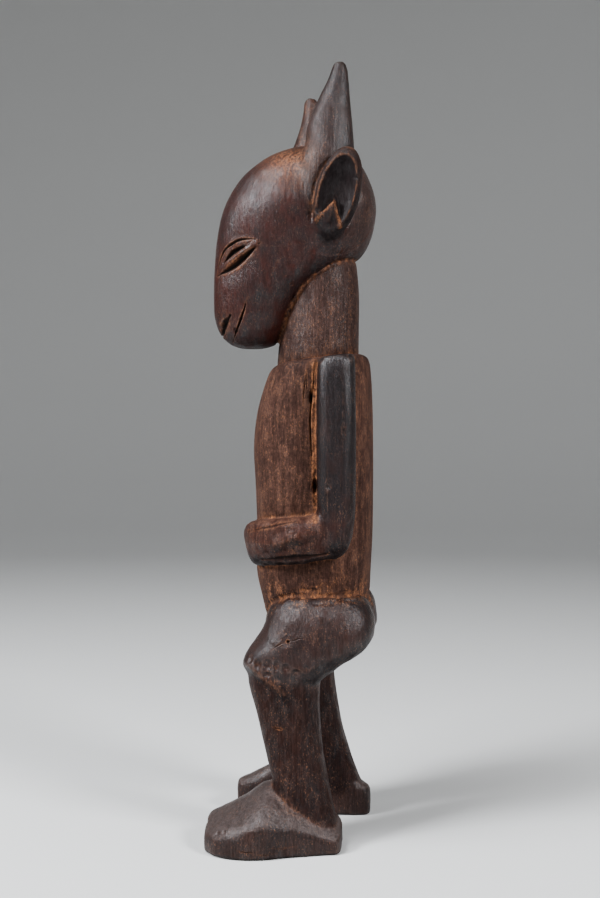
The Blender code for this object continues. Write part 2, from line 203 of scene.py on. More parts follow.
UPPER_ARM = [
    (112.5, 14.5, 19.5, 26.0, 33.0),
    (114.5, 11.5, 21.2, 24.0, 35.6),
    (120.0, 9.6, 22.8, 23.0, 36.8),
    (130.0, 9.2, 23.6, 22.5, 37.0),
    (149.0, 8.8, 23.8, 22.0, 36.8),
    (168.0, 8.8, 23.6, 21.5, 36.2),
    (182.0, 9.2, 23.4, 20.0, 35.2),
    (184.6, 11.0, 22.0, 19.0, 32.5),
]

THIGH = [
    (55.0, -10.0, 0.0, 12.0, 25.0),
    (59.5, -13.6, 6.0, 7.0, 30.6),
    (64.5, -17.2, 12.5, 4.8, 32.9),
    (KNEE, -20.2, 18.5, 3.5, 34.0),
    (74.0, -18.4, 26.0, 2.5, 34.2),
    (79.0, -14.8, 29.8, 1.5, 33.8),
    (HIP, -12.0, 30.6, 0.4, 33.0),
    (90.0, -10.5, 29.2, -0.8, 31.0),
    (95.0, -7.0, 26.0, 2.0, 27.5),
]

SHIN = [
    (0.6, -7.0, 17.6, 14.5, 32.5),
    (6.0, -7.0, 16.8, 13.5, 32.0),
    (14.0, -7.0, 15.2, 12.0, 31.0),
    (24.0, -8.4, 12.8, 10.5, 30.4),
    (36.0, -11.4, 10.6, 9.0, 30.2),
    (50.0, -14.8, 9.6, 7.0, 31.2),
    (64.0, -18.2, 9.4, 5.4, 32.6),
    (70.0, -16.0, 8.0, 6.4, 31.6),
]

# Cuts across the foot from toe to heel: (y, inner side, outer side, height).
FOOT = [
    (-33.6, 18.5, 31.5, 8.8),
    (-32.6, 15.5, 34.4, 9.8),
    (-28.0, 13.6, 39.0, 11.6),
    (-20.0, 13.2, 41.8, 15.2),
    (-10.0, 13.0, 41.2, 20.8),
    (0.0, 13.0, 37.5, 18.0),
    (10.0, 13.2, 34.4, 12.6),
    (16.6, 14.4, 32.8, 9.4),
    (18.2, 17.0, 30.0, 7.4),
]
FOOT_SLOPE_OUT = 0.26
FOOT_MIDDLE_HEIGHT = 0.35
FOREARM_UNDERCUT = 0.45

# The forearm's middle line from elbow to fist: (x, y, height), then its half height and half thickness.
FOREARM_LINE = [
    (28.0, 21.0, FOREARM + 5.5, 5.0, 5.8),
    (29.2, 18.0, FOREARM + 3.6, 8.2, 7.6),
    (30.0, 11.0, FOREARM + 3.2, 8.6, 8.0),
    (30.2, 3.0, FOREARM + 2.0, 9.0, 8.0),
    (28.2, -5.5, FOREARM + 1.2, 9.0, 7.6),
    (21.0, -12.6, FOREARM + 0.2, 8.9, 7.2),
    (13.0, -15.2, FOREARM - 0.6, 8.4, 6.8),
    (6.0, -16.0, FOREARM - 1.2, 7.8, 6.2),
    (1.6, -16.0, FOREARM - 1.2, 5.4, 4.2),
]

# The ear's leaf and its hollow. A pointed wedge is left standing in the foot of the hollow.
EAR_CENTRE = Vector((26.9, 12.0, 248.0))
EAR_HALF_LENGTH = 18.0
EAR_HALF_WIDTH = 8.7
EAR_HALF_THICKNESS = 7.0
EAR_LEAN_BACK = math.radians(17)
EAR_OPEN_FORWARD = math.radians(12)
EAR_FLARE = math.radians(14)
EAR_RIM = 1.3
EAR_HOLLOW = 6.0
EAR_HOLLOW_BACK = 0.25
EAR_HOLLOW_UP = 0.6
EAR_TONGUE_SIDES = 8
EAR_HOLLOW_CENTRE = (EAR_HALF_THICKNESS, EAR_HOLLOW_BACK, EAR_HOLLOW_UP)
EAR_HOLLOW_HALVES = (EAR_HOLLOW, EAR_HALF_WIDTH - EAR_RIM, EAR_HALF_LENGTH - EAR_RIM)

# Cuts along the wedge, in the ear's frame: (height, half thickness, half width).
EAR_TONGUE = [
    (-17.6, 0.7, 0.9),
    (-16.6, 1.8, 2.2),
    (-14.8, 3.1, 4.4),
    (-11.6, 4.4, 6.0),
    (-6.8, 4.9, 3.4),
    (-2.2, 4.4, 0.35),
]

# The wedge's two edges, which are crisp and catch dust: (thickness, half width, height) from apex to foot.
EAR_EDGE = [(3.9, 0.3, -2.4), (4.2, 1.6, -4.6), (4.2, 2.8, -6.9), (4.0, 4.0, -9.4), (3.7, 5.0, -11.8)]

# Lines cut into the side of the face, as (y, height) places on the skull in the head's own frame.
BROW_LINE = [(-33.4, 219.4), (-32.7, 223.4), (-30.4, 229.3), (-25.1, 232.3), (-19.6, 232.2), (-16.6, 230.8)]
UPPER_LID_LINE = [(-30.8, 223.9), (-28.4, 226.9), (-25.2, 228.9), (-20.6, 230.5)]
LOWER_LID_LINE = [(-33.2, 219.6), (-29.4, 221.2), (-25.7, 223.5), (-20.9, 227.3), (-17.0, 230.8)]
MOUTH_LINE = [(-21.6, 210.6), (-22.6, 206.8), (-23.5, 204.0), (-24.6, 200.8), (-25.8, 197.4), (-27.0, 193.6)]
NOSTRIL_LINE = [(-28.2, 203.6), (-29.9, 201.2), (-31.0, 198.6), (-31.2, 195.8)]
UPPER_LID_RIDGE = [(-31.9, 223.4), (-29.6, 228.0), (-25.3, 230.6), (-20.4, 231.4), (-17.6, 230.6)]
LOWER_LID_RIDGE = [(-32.4, 221.0), (-28.8, 224.3), (-25.4, 226.6), (-20.9, 229.4), (-17.6, 230.6)]

# Groups of forms. Each has its own knife work and its own share of every finish.
GROUPS = ("head", "horn", "ear", "neck", "torso", "arm", "forearm", "pelvis", "thigh", "shin", "foot")

# It is halved this near to the finest lines.
FINE_GRAIN = 0.5
REFINED_REACH = 1.6
SEED = 7

# How many times the blank is smoothed, and how far outside the figure the rays that find its skin start.
BLANK_TIMES = 3
OUTSIDE = 80.0

# The knife work of each group: (cell size, stretch along the grain, depth).
KNIFE_WORK = {
    "head": (9.0, 1.4, 0.05),
    "horn": (4.5, 5.0, 0.05),
    "ear": (4.0, 1.6, 0.02),
    "neck": (7.0, 3.4, 0.06),
    "torso": (9.0, 3.0, 0.06),
    "arm": (6.5, 6.0, 0.12),
    "forearm": (5.5, 0.9, 0.13),
    "pelvis": (5.0, 0.9, 0.16),
    "thigh": (6.5, 1.2, 0.14),
    "shin": (5.0, 4.5, 0.10),
    "foot": (6.0, 1.0, 0.09),
}

# Cuts in each side of the face: (line, width, depth, lip, least taper, fresh).
FACE_CUTS = {
    "brow": (BROW_LINE, 1.3, 1.0, 0.10, 0.25, 0.7),
    "upper lid": (UPPER_LID_LINE, 2.1, 1.5, 0.05, 0.25, 0.4),
    "lower lid": (LOWER_LID_LINE, 2.9, 1.8, 0.10, 0.25, 0.8),
    "mouth": (MOUTH_LINE, 1.2, 1.4, 0.14, 0.25, 0.6),
    "nostril": (NOSTRIL_LINE, 3.4, 1.8, 0.12, 0.40, 0.5),
}

# Ridges in each side of the face: (line, width, height, fresh).
FACE_RIDGES = {
    "upper ridge": (UPPER_LID_RIDGE, 1.7, 0.40, 0.25),
    "lower ridge": (LOWER_LID_RIDGE, 1.6, 0.85, 0.25),
}

# Lines and spots on the body are (y, height) places on the figure's left or right side.
# The dusty channel in front of the left arm, half its width, its soft edge and how dusty it is.
CHANNEL = [(8.1, 184.0), (8.0, 172.0), (7.7, 160.0), (7.9, 148.0), (8.3, 136.0), (8.9, 125.0)]
CHANNEL_WIDTH = 1.7
CHANNEL_EDGE = 0.8
CHANNEL_DUST = 0.75

# Cuts into the left side: (line, width, depth, dark, fresh). Dark is how strongly the cut's floor is painted
# with shade.
LEFT_CUTS = [
    ([(6.9, 183.5), (6.9, 172.9), (6.9, 168.4), (6.5, 161.5), (6.9, 152.1), (7.4, 143.0), (8.5, 131.0)],
     0.8, 0.9, 0.8, 0.5),
    ([(5.6, 183.6), (4.7, 177.5), (4.0, 171.6), (3.9, 165.0)], 0.6, 0.5, 0.6, 0.5),
    ([(8.0, 183.6), (7.8, 176.8), (7.5, 171.5)], 0.6, 0.5, 0.6, 0.5),
    ([(5.3, 181.0), (5.2, 172.0)], 0.5, 0.4, 0.6, 0.5),
    ([(-17.8, 119.6), (-12.5, 121.2), (-7.0, 122.5), (-2.0, 123.8), (2.8, 124.5)], 1.4, 0.35, 0.4, 0.5),
    ([(-1.2, 115.6), (-1.0, 117.9), (-0.6, 119.4)], 0.7, 0.6, 0.7, 0.4),
    ([(1.1, 116.8), (1.0, 118.6), (1.5, 120.3)], 0.8, 0.7, 0.8, 0.4),
    ([(2.8, 117.2), (3.0, 119.2)], 0.6, 0.5, 0.6, 0.4),
    ([(-12.0, 109.4), (-7.3, 109.9), (-2.0, 110.3), (2.7, 110.8), (8.0, 111.4), (13.1, 112.2)],
     3.0, 0.9, 0.5, 0.1),
    ([(-8.6, 75.2), (-7.7, 76.0), (-5.5, 77.7), (-3.0, 78.9), (-1.7, 79.3)], 0.6, 0.5, 0.7, 0.3),
    ([(-1.7, 79.3), (0.5, 79.7), (2.6, 80.5), (4.9, 80.3)], 0.6, 0.4, 0.6, 0.2),
    ([(-7.6, 46.6), (-5.4, 46.0), (-3.2, 45.9)], 0.9, 0.35, 0.1, 1.0),
    ([(19.0, 176.0), (19.3, 160.0), (18.8, 148.0)], 0.5, 0.35, 0.5, 0.2),
    ([(13.6, 150.0), (13.2, 136.0), (13.5, 126.0)], 0.5, 0.35, 0.5, 0.2),
    ([(-20.0, 3.6), (-16.0, 3.1), (-12.0, 3.3)], 0.6, 0.3, 0.5, 0.3),
    ([(-14.0, 2.2), (-9.0, 1.9), (-5.0, 2.3)], 0.5, 0.3, 0.5, 0.3),
    ([(-8.0, 4.4), (-3.0, 3.8), (2.0, 4.2)], 0.5, 0.3, 0.5, 0.3),
    ([(10.0, 220.5), (14.5, 224.0), (19.0, 229.5)], 0.6, 0.4, 0.4, 0.3),
]

# Cuts into the right side, in the same order, and the lip and least taper of the cuts of both sides.
RIGHT_CUTS = [
    ([(7.4, 184.0), (7.0, 174.0), (7.6, 160.0), (7.2, 149.0), (7.8, 139.0)], 0.7, 0.7, 0.7, 0.4),
    ([(5.6, 181.0), (5.2, 170.0)], 0.5, 0.5, 0.6, 0.4),
    ([(-6.0, 110.2), (1.0, 110.8), (9.0, 111.6)], 1.5, 0.8, 0.8, 0.3),
]
BODY_LIP = 0.06
BODY_TAPER = 0.4

# Ridges on both sides: (line, width, height, fresh). The leg's ridges are moved back on the right.
RIDGES = [
    ([(-17.8, 70.7), (-15.2, 68.6), (-12.0, 66.4), (-8.6, 63.6), (-5.6, 61.5), (-3.0, 59.4), (0.5, 58.2)],
     2.6, 0.8, 0.3),
    ([(-4.6, 68.8), (0.5, 68.7), (5.6, 69.0), (10.6, 70.5)], 2.2, 0.35, 0.12),
    ([(-7.8, 77.8), (-4.4, 82.6), (-0.6, 87.7)], 3.0, 0.3, 0.05),
    ([(-18.5, 115.4), (-9.5, 115.7), (-5.0, 116.3), (-1.0, 117.7), (2.3, 118.7), (5.5, 119.4), (11.3, 120.1)],
     3.4, 1.3, 0.15),
    ([(-30.0, 7.8), (-25.4, 9.4), (-14.3, 10.6), (-4.7, 10.0), (2.0, 9.4)], 3.0, 0.3, 0.0),
    ([(-5.0, 22.0), (-2.9, 17.1), (0.1, 14.5), (4.0, 13.0)], 2.0, 0.2, 0.3),
]

# Scoops in the left side: (place, (half width, half height), depth, dark, fresh). Dark is how strongly the
# scoop's floor is painted with shade.
SCOOPS = [
    ((6.9, 170.6), (0.8, 3.0), 2.4, 1.0, 0.6), ((8.2, 137.4), (0.9, 3.4), 2.4, 1.0, 0.6),
    ((-13.1, 70.4), (1.7, 2.2), 0.90, 0.0, 0.0), ((-9.3, 70.3), (2.2, 2.6), 1.00, 0.0, 0.0),
    ((-6.0, 70.0), (1.5, 2.4), 0.85, 0.0, 0.0), ((-2.4, 69.4), (1.9, 1.9), 0.85, 0.0, 0.0),
    ((-9.4, 66.8), (1.8, 1.3), 0.65, 0.0, 0.1), ((1.6, 68.0), (2.0, 1.5), 0.60, 0.0, 0.0),
    ((-16.2, 71.6), (1.3, 1.9), 0.65, 0.0, 0.0), ((5.2, 69.2), (1.8, 1.6), 0.50, 0.0, 0.0),
    ((-0.2, 96.0), (1.6, 2.2), 0.5, 0.1, 0.3), ((3.7, 96.9), (1.5, 2.4), 0.5, 0.1, 0.3),
    ((7.6, 97.2), (1.7, 2.1), 0.5, 0.1, 0.3), ((11.4, 98.2), (1.6, 2.4), 0.5, 0.1, 0.3),
    ((15.4, 98.4), (1.7, 2.0), 0.4, 0.1, 0.2), ((-4.4, 94.0), (1.5, 1.8), 0.4, 0.1, 0.2),
    ((-4.0, 107.6), (2.2, 1.6), 0.5, 0.2, 0.1), ((1.6, 108.2), (2.0, 1.5), 0.5, 0.2, 0.1),
    ((7.4, 108.8), (2.3, 1.7), 0.5, 0.2, 0.1), ((-10.0, 107.0), (2.0, 1.6), 0.4, 0.2, 0.1),
    ((-27.4, 8.1), (1.2, 1.0), 0.35, 0.1, 0.0), ((-24.8, 9.0), (1.0, 0.8), 0.3, 0.1, 0.0),
]

# The knot in the thigh: its place, its hole (halves, depth, dark, fresh), and the rings of grain round it.
# Dark is the painted shade in the hole.
KNOT = (-1.7, 79.3)
KNOT_HOLE = ((0.8, 0.7), 0.9, 0.9, 0.7)
KNOT_REACH = 5.0
RING_HEIGHT = 0.10
RING_TIGHTNESS = 2.6
RING_FADE = 2.2

# Small round scars on the cheek: (place, radius), and how deep and how fresh they are.
CHEEK_SCARS = [((-10.1, 223.6), 0.7), ((-11.7, 220.8), 0.5), ((-7.6, 218.4), 0.6), ((-4.6, 215.0), 0.7)]
SCAR_DEPTH = 0.25
SCAR_FRESH = 0.35

# How finely chosen lines are sampled.
LINE_STEPS = 4

# The crisp edges of the wedge in the ear: how far they reach, how high they stand and how they fade.
WEDGE_REACH = 1.2
WEDGE_HEIGHT = 0.35
WEDGE_BRIGHT = 1.6
WEDGE_FADE = 0.3

# Knife cells: how many places their middles are chosen from and how far apart those stay, how much the
# cells tilt, how high they count, and in how many blocks they are worked out.
CELL_SAMPLES = 6000
CELL_APART = 0.8
CELL_TILT = 0.28
CELL_TOP = 1.6
CELL_BLOCKS = 24

# How many times the edges of groups are smoothed, for the knife work and for parts of the finish.
KNIFE_BLEND = 10
EDGE_BLEND = 8
NARROW_BLEND = 4
FINISH_BLEND = 24
LEAST_SHARE = 0.02
LEAST_WEIGHT = 0.1

# The broad swell of the hand-cut skin: its noise on each axis, where that is read, and its height.
SWELL_SCALE = (0.045, 0.045, 0.03)
SWELL_SEED = 3.1
SWELL_HEIGHT = 0.35

# Chips: how many, how sharp an edge chips, from what height up, and the least and most of their sizes.
CHIPS = 110
CHIP_SHARPNESS = 0.97
CHIP_SMOOTHING = 10
CHIP_FROM = 1.2
CHIP_SIZE = (0.5, 1.5)
CHIP_STRETCH = (0.8, 2.2)
CHIP_DEPTH = (0.15, 0.35)
CHIP_FRESH = (0.0, 0.3)

# The chopped band round the waist: how far it reaches, its noise, its depth and how it fades.
WAIST_REACH = 9.0
WAIST_SCALE = (0.22, 0.22, 0.75)
WAIST_SEED = 11.0
WAIST_DEPTH = 0.55
WAIST_CREST = 0.1
WAIST_LEVEL = 1.2
WAIST_FADE = 8
WAIST_DUST_REACH = 5.0

# Dust reaches this far from a crease. It lies in patches: (strength, scale, where the noise is read).
DUST_REACH = 0.9
DUST_LEVEL = 0.45
DUST_PATCHES = [(1.2, 0.4, 5.0), (0.8, 1.1, 9.0)]

# How far inside the frame's box the figure stays at its sides, in carver's units.
CLEARANCE = 0.03

# Where groups of forms meet: the crease's depth and width, and how much dust lies in it.
JOINS = [
    ("head", "neck", 0.5, 1.1, 0.50),
    ("neck", "torso", 0.5, 1.0, 1.10),
    ("torso", "arm", 0.5, 0.9, 0.40),
    ("torso", "forearm", 0.4, 1.0, 0.60),
    ("ear", "head", 0.5, 1.0, 0.12),
    ("ear", "horn", 0.6, 1.0, 0.40),
    ("horn", "head", 0.0, 1.0, 0.15),
    ("torso", "thigh", 0.4, 1.3, 0.15),
    ("thigh", "shin", 0.0, 1.1, 0.00),
    ("shin", "foot", 0.1, 1.1, 0.06),
]

# Where forms run into each other smoothly: how far from the join, and how many times the skin is smoothed.
# It is smoothed in full up to a share of that distance.
BLENDS = [
    ("arm", "forearm", 6.0, 60),
    ("thigh", "shin", 3.5, 25),
    ("shin", "foot", 4.5, 40),
    ("horn", "head", 4.0, 30),
]
BLEND_FULL = 0.4

# The lower end of each ear is one with the head, from and to these distances below the ear's middle. The skin
# is smoothed there, and its hollow ends. Its finish changes a little higher up.
EAR_END = (10.0, 13.0)
EAR_END_TIMES = 130
EAR_FOOT = (9.0, 13.0)
EAR_TOP = (-13.0, -4.0)
EAR_SINK_REACH = 1.3
EAR_MARK_REACH = 1.2

# The edge of the hollow's painted shade, and the face of the wedge, which stands out of the hollow and gets
# less painted shade: along X, down and to the sides.
EAR_HOLLOW_EDGE = (1.0, 1.12)
WEDGE_FACE = ((3.0, 3.8), (2.0, 4.0), (4.4, 5.2))
WEDGE_LIGHTER = 0.75

# How each group is finished: dark patina, red, dry dust, rubbed gloss and grey.
GROUP_FINISH = {
    "head": (0.45, 1.10, 0.06, 0.90, 0.00),
    "horn": (0.60, 0.20, 0.22, 0.65, 0.45),
    "ear": (0.80, 0.10, 0.10, 0.35, 0.30),
    "neck": (0.40, 0.15, 0.55, 0.40, 0.30),
    "torso": (0.35, 0.10, 0.75, 0.12, 0.15),
    "arm": (1.10, 0.10, -0.10, 0.90, 0.05),
    "forearm": (0.18, 0.50, 0.55, 0.40, 0.10),
    "pelvis": (0.45, 0.30, 0.40, 0.20, 0.00),
    "thigh": (0.60, 0.30, 0.36, 0.85, 0.12),
    "shin": (0.70, 0.15, 0.34, 0.25, 0.05),
    "foot": (0.50, 0.10, 0.30, 0.55, 0.35),
}

# What share of its group's finish a place loses, and what it adds, in the same order. Several of these places
# are painted shade and others painted light, as noted by each.
PLACE_LOSSES = {
    "back of the head": (0.00, 0.70, 0.00, 0.00, 0.00),
    "shaded underside": (0.00, 0.00, 0.00, 0.70, 0.00),
}
PLACE_FINISH = {
    "back of the head": (0.00, 0.00, 0.45, 0.00, 0.35),
    # Painted shade where the skin faces down: less dust on the shaded underside, a darker shaded side.
    "shaded underside": (0.00, 0.00, -0.40, 0.00, 0.00),
    "shaded side": (0.80, 0.00, 0.00, 0.00, 0.00),
    # Painted light: the upward faces of the feet and forearms are less dark.
    "lit side": (-0.45, 0.00, 0.00, 0.00, 0.00),
    "forearm top": (0.00, 0.00, 0.35, 0.00, 0.00),
    # Painted light on the tops of the feet: less dark and greyer, as a sheen.
    "lit foot top": (-0.30, 0.00, 0.00, 0.35, 0.80),
    "right horn": (0.00, 0.00, 0.60, 0.00, -0.30),
    "lower arm": (-0.50, 0.50, 0.40, -0.35, 0.00),
    # Painted shade under the forearms: darker and less dusty.
    "shade under the forearm": (0.70, 0.00, -0.50, 0.00, 0.00),
    "waist": (0.30, 0.00, 0.00, 0.00, 0.00),
}

# From where to where those places fade: along Y, up Z, and as the skin turns up or down.
HEAD_BACK = (2.0, 26.0)
LOWER_ARM = (112.0, 148.0)
# The painted shade under the forearms fades out between these heights.
FOREARM_SHADE = (107.5, 113.0)
FACING_UP = (0.25, 0.8)
FACING_DOWN = (0.15, 0.8)
SKULL_UNSHADED = 0.6

# Dust on the crown: its middle, its reach on each axis, and how strong it is.
CROWN = (15.0, -6.0, 262.0)
CROWN_REACH = (14, 9, 9)
CROWN_DUST = 0.8

# The pale rim of the ear: from and to how sharp an edge, and how pale.
RIM_SHARPNESS = (0.03, 0.14)
RIM_FRESH = 0.55

# Hollows are read at two sizes: how many times the skin is smoothed, and the depth that counts as 1.
FINE_HOLLOW = (8, 0.05)
BROAD_HOLLOW = (90, 0.5)

# Patterns in the wood: (stretch along the grain, scale, detail, roughness).
PATTERNS = {
    "grain": (0.10, 1.5, 5.0, 0.68),
    "streak": (0.04, 0.5, 3.0, 0.60),
    "cloud": (0.55, 0.085, 4.0, 0.55),
    "patch": (0.60, 0.28, 4.0, 0.60),
    "mottle": (0.75, 0.9, 6.0, 0.72),
    "fleck": (0.60, 1.9, 4.0, 0.65),
    "pore": (0.35, 2.6, 2.0, 0.50),
}
PATTERN_MIDDLE = 0.5

# Camera, with its place measured from the figure's own origin.
LENS = 45.0
SENSOR = 36.0
CAMERA_AZIMUTH = math.radians(95)
CAMERA_DISTANCE = 0.452
CAMERA_AIM = Vector((0.0, 0.001617, 0.1515))
CLIP_START = 0.01

# Soft square lights: (way from the figure, size, colour). All stand equally far from it, in metres.
LIGHTS = {
    "key": ((0.50, -0.66, 0.44), 0.22, (0.93, 0.96, 1.0)),
    "top": ((0.40, -0.45, 1.0), 0.34, (0.93, 0.96, 1.0)),
    "side": ((0.50, 0.72, 0.45), 0.22, (0.95, 0.97, 1.0)),
}
LIGHT_DISTANCE = 0.85
WORLD_COLOUR = (0.80, 0.82, 0.85, 1.0)
VIEW_LOOK = "AgX - Medium High Contrast"

# The floor curves up into a wall all round: how far out and how high it is, in metres.
FLOOR_CURVE = [
    (1.2, 0.0),
    (1.45, 0.02),
    (1.7, 0.09),
    (1.93, 0.24),
    (2.1, 0.48),
    (2.2, 0.8),
    (2.24, 1.2),
    (2.26, 1.7),
]
FLOOR_SIDES = 96
FLOOR_ROUGHNESS = 0.9


def signed_power(value, power):
    """A number raised to a power with its sign kept."""
    return math.copysign(abs(value) ** power, value)


def smooth_between(rows, steps):
    """Rows of numbers with a smooth curve through them sampled this many times a span."""
    filled = []
    last = len(rows) - 1
    for index in range(last):
        before = rows[max(index - 1, 0)]
        start, end = rows[index], rows[index + 1]
        after = rows[min(index + 2, last)]
        for step in range(steps):
            t = step / steps
            weights = (
                (-t + 2 * t**2 - t**3) / 2,
                (2 - 5 * t**2 + 3 * t**3) / 2,
                (t + 4 * t**2 - 3 * t**3) / 2,
                (t**3 - t**2) / 2,
            )
            corners = zip(before, start, end, after)
            filled.append(tuple(sum(w * value for w, value in zip(weights, four)) for four in corners))
    filled.append(tuple(rows[-1]))
    return filled


def outline(centre_a, centre_b, half_a, half_b, squareness, pinch, sides):
    """A rounded outline, narrowed towards its -b end by the pinch."""
    points = []
    for index in range(sides):
        angle = 2 * math.pi * index / sides
        a = signed_power(math.cos(angle), 2 / squareness)
        b = signed_power(math.sin(angle), 2 / squareness)
        points.append((centre_a + half_a * a * (1 - pinch * (1 - b) / 2), centre_b + half_b * b))
    return points


def loft(rings):
    """A closed body that bridges circles, each reshaped to a ring of points."""
    body = bmesh.new()
    loops = []
    for ring in rings:
        circle = bmesh.ops.create_circle(body, segments=len(ring), radius=1.0)["verts"]
        for vert, point in zip(circle, ring):
            vert.co = point
        loops.append(list(dict.fromkeys(edge for vert in circle for edge in vert.link_edges)))
    for lower, upper in zip(loops, loops[1:]):
        bmesh.ops.bridge_loops(body, edges=lower + upper)
    bmesh.ops.contextual_create(body, geom=loops[0])
    bmesh.ops.contextual_create(body, geom=loops[-1])
    bmesh.ops.recalc_face_normals(body, faces=body.faces)
    return body


def level_slope(z):
    """The slope of a level cut, which is none."""
    return 0.0


def shoulder_slope(z):
    """How a cut through the chest and upper arms slopes up to the back, more so towards the shoulders."""
    return SHOULDER_SLOPE * max((z - CHEST) / (SHOULDER - CHEST), 0.0)


def upright_form(rows, sides, squareness, slope=level_slope):
    """A form from cuts of (height, front, back, right, left) and, if it narrows to the front, a pinch."""
    rings = []
    for z, front, back, right, left, *pinch in smooth_between(rows, STEPS_BETWEEN_LEVELS):
        middle_x, middle_y = (right + left) / 2, (front + back) / 2
        half_x, half_y = (left - right) / 2, (back - front) / 2
        flat = outline(middle_x, middle_y, half_x, half_y, squareness, sum(pinch), sides)
        rings.append([(x, y, z + slope(z) * y) for x, y in flat])
    return loft(rings)


def symmetric(rows):
    """Cuts across both sides from cuts that give a half width."""
    return [(z, front, back, -half, half, *pinch) for z, front, back, half, *pinch in rows]


def mirrored(rows):
    """Cuts of the left side turned into cuts of the right side."""
    return [(z, front, back, -outer, -inner) for z, front, back, inner, outer in rows]


def moved_back(rows, distance):
    """Cuts moved back by a distance that depends on their height."""
    return [(row[0], row[1] + distance(row[0]), row[2] + distance(row[0]), *row[3:]) for row in rows]


def leg_setback(z):
    """How far behind the left leg the right leg stands at a height."""
    return RIGHT_FOOT_BACK * max(1 - z / HIP, 0.0)


def horn_setback(z):
    """How far behind the left horn the right horn stands, which is in front of it."""
    return -RIGHT_HORN_FORWARD


def foot(side, back, taller, longer):
    """A foot with a flat sole, stretched from its heel. Side is 1 for the left foot and -1 for the right."""
    rings = []
    heel = FOOT[-1][0]
    for y, inner, outer, height in smooth_between(FOOT, STEPS_BETWEEN_LEVELS):
        y = heel + (y - heel) * longer + back
        height *= taller
        middle, half = (inner + outer) / 2, (outer - inner) / 2
        centre, reach = height * FOOT_MIDDLE_HEIGHT, height * (1 - FOOT_MIDDLE_HEIGHT)
        ring = []
        for x, z in outline(middle, centre, half, reach, FOOT_SQUARENESS, 0.0, LIMB_SIDES):
            z *= 1 - FOOT_SLOPE_OUT * (x - middle) / half
            ring.append((side * x, y, max(z, SOLE)))
        rings.append(ring)
    return loft(rings)


def forearm(side):
    """A forearm and fist that wrap round the belly at one height."""
    rows = smooth_between(FOREARM_LINE, STEPS_BETWEEN_LEVELS)
    last = len(rows) - 1
    rings = []
    for index, (x, y, z, half_height, half_thick) in enumerate(rows):
        before, after = rows[max(index - 1, 0)], rows[min(index + 1, last)]
        out = Vector((after[1] - before[1], before[0] - after[0], 0)).normalized()
        flat = outline(0.0, 0.0, half_thick, half_height, FOREARM_SQUARENESS, FOREARM_UNDERCUT, LIMB_SIDES)
        rings.append([(side * (x + out.x * a), y + out.y * a, z + b) for a, b in flat])
    return loft(rings)


def ear_frame(side):
    """Where an ear sits in the head's own frame. Its local X points out of the ear's hollow."""
    turn = Matrix.Rotation(-EAR_OPEN_FORWARD, 4, "Z") @ Matrix.Rotation(-EAR_LEAN_BACK, 4, "X")
    left = Matrix.Translation(EAR_CENTRE) @ turn @ Matrix.Rotation(EAR_FLARE, 4, "Y")
    return left if side > 0 else Matrix.Scale(-1, 4, (1, 0, 0)) @ left


def egg(place, halves):
    """A smooth egg with its middle at a place, for the ear's leaf or its hollow."""
    body = bmesh.new()
    shape = place @ Matrix.Diagonal((*halves, 1.0))
    bmesh.ops.create_uvsphere(body, u_segments=EAR_SEGMENTS, v_segments=EAR_RINGS, radius=1.0, matrix=shape)
    bmesh.ops.recalc_face_normals(body, faces=body.faces)
    return body


def ear_tongue(side):
    """The pointed wedge in the foot of the hollow."""
    place = ear_frame(side)
    rings = []
    for z, half_thick, half_wide in smooth_between(EAR_TONGUE, STEPS_BETWEEN_LEVELS):
        flat = outline(0.0, 0.0, half_thick, half_wide, EAR_TONGUE_SQUARENESS, 0.0, EAR_TONGUE_SIDES)
        rings.append([place @ Vector((x, y, z)) for x, y in flat])
    return loft(rings)


def as_object(name, body):
    """A temporary object from a bmesh."""
    data = bpy.data.meshes.new(name)
    body.to_mesh(data)
    body.free()
    made = bpy.data.objects.new(name, data)
    bpy.context.scene.collection.objects.link(made)
    return made


def evaluated_mesh(obj):
    """The mesh that an object's modifiers make."""
    bpy.context.view_layer.update()
    return bpy.data.meshes.new_from_object(obj.evaluated_get(bpy.context.evaluated_depsgraph_get()))


def discard(*objects):
    """Takes temporary objects and their meshes away."""
    for obj in objects:
        data = obj.data
        bpy.data.objects.remove(obj)
        bpy.data.meshes.remove(data)


def as_bmesh(obj):
    """A bmesh of an object with its modifiers applied. The object goes."""
    data = evaluated_mesh(obj)
    discard(obj)
    body = bmesh.new()
    body.from_mesh(data)
    bpy.data.meshes.remove(data)
    return body


def ear(side):
    """The ear's leaf with its hollow cut out and the wedge left in it."""
    leaf = as_object("leaf", egg(ear_frame(side), (EAR_HALF_THICKNESS, EAR_HALF_WIDTH, EAR_HALF_LENGTH)))
    middle = ear_frame(side) @ Matrix.Translation(EAR_HOLLOW_CENTRE)
    hollow = as_object("hollow", egg(middle, EAR_HOLLOW_HALVES))
    tongue = as_object("tongue", ear_tongue(side))
    for tool, operation in ((hollow, "DIFFERENCE"), (tongue, "UNION")):
        modifier = leaf.modifiers.new(operation, "BOOLEAN")
        modifier.operation = operation
        modifier.object = tool
        modifier.solver = "EXACT"
    body = as_bmesh(leaf)
    discard(hollow, tongue)
    return body


def turned_head(body):
    """A form of the head turned about the neck."""
    body.transform(HEAD_PLACE)
    return body


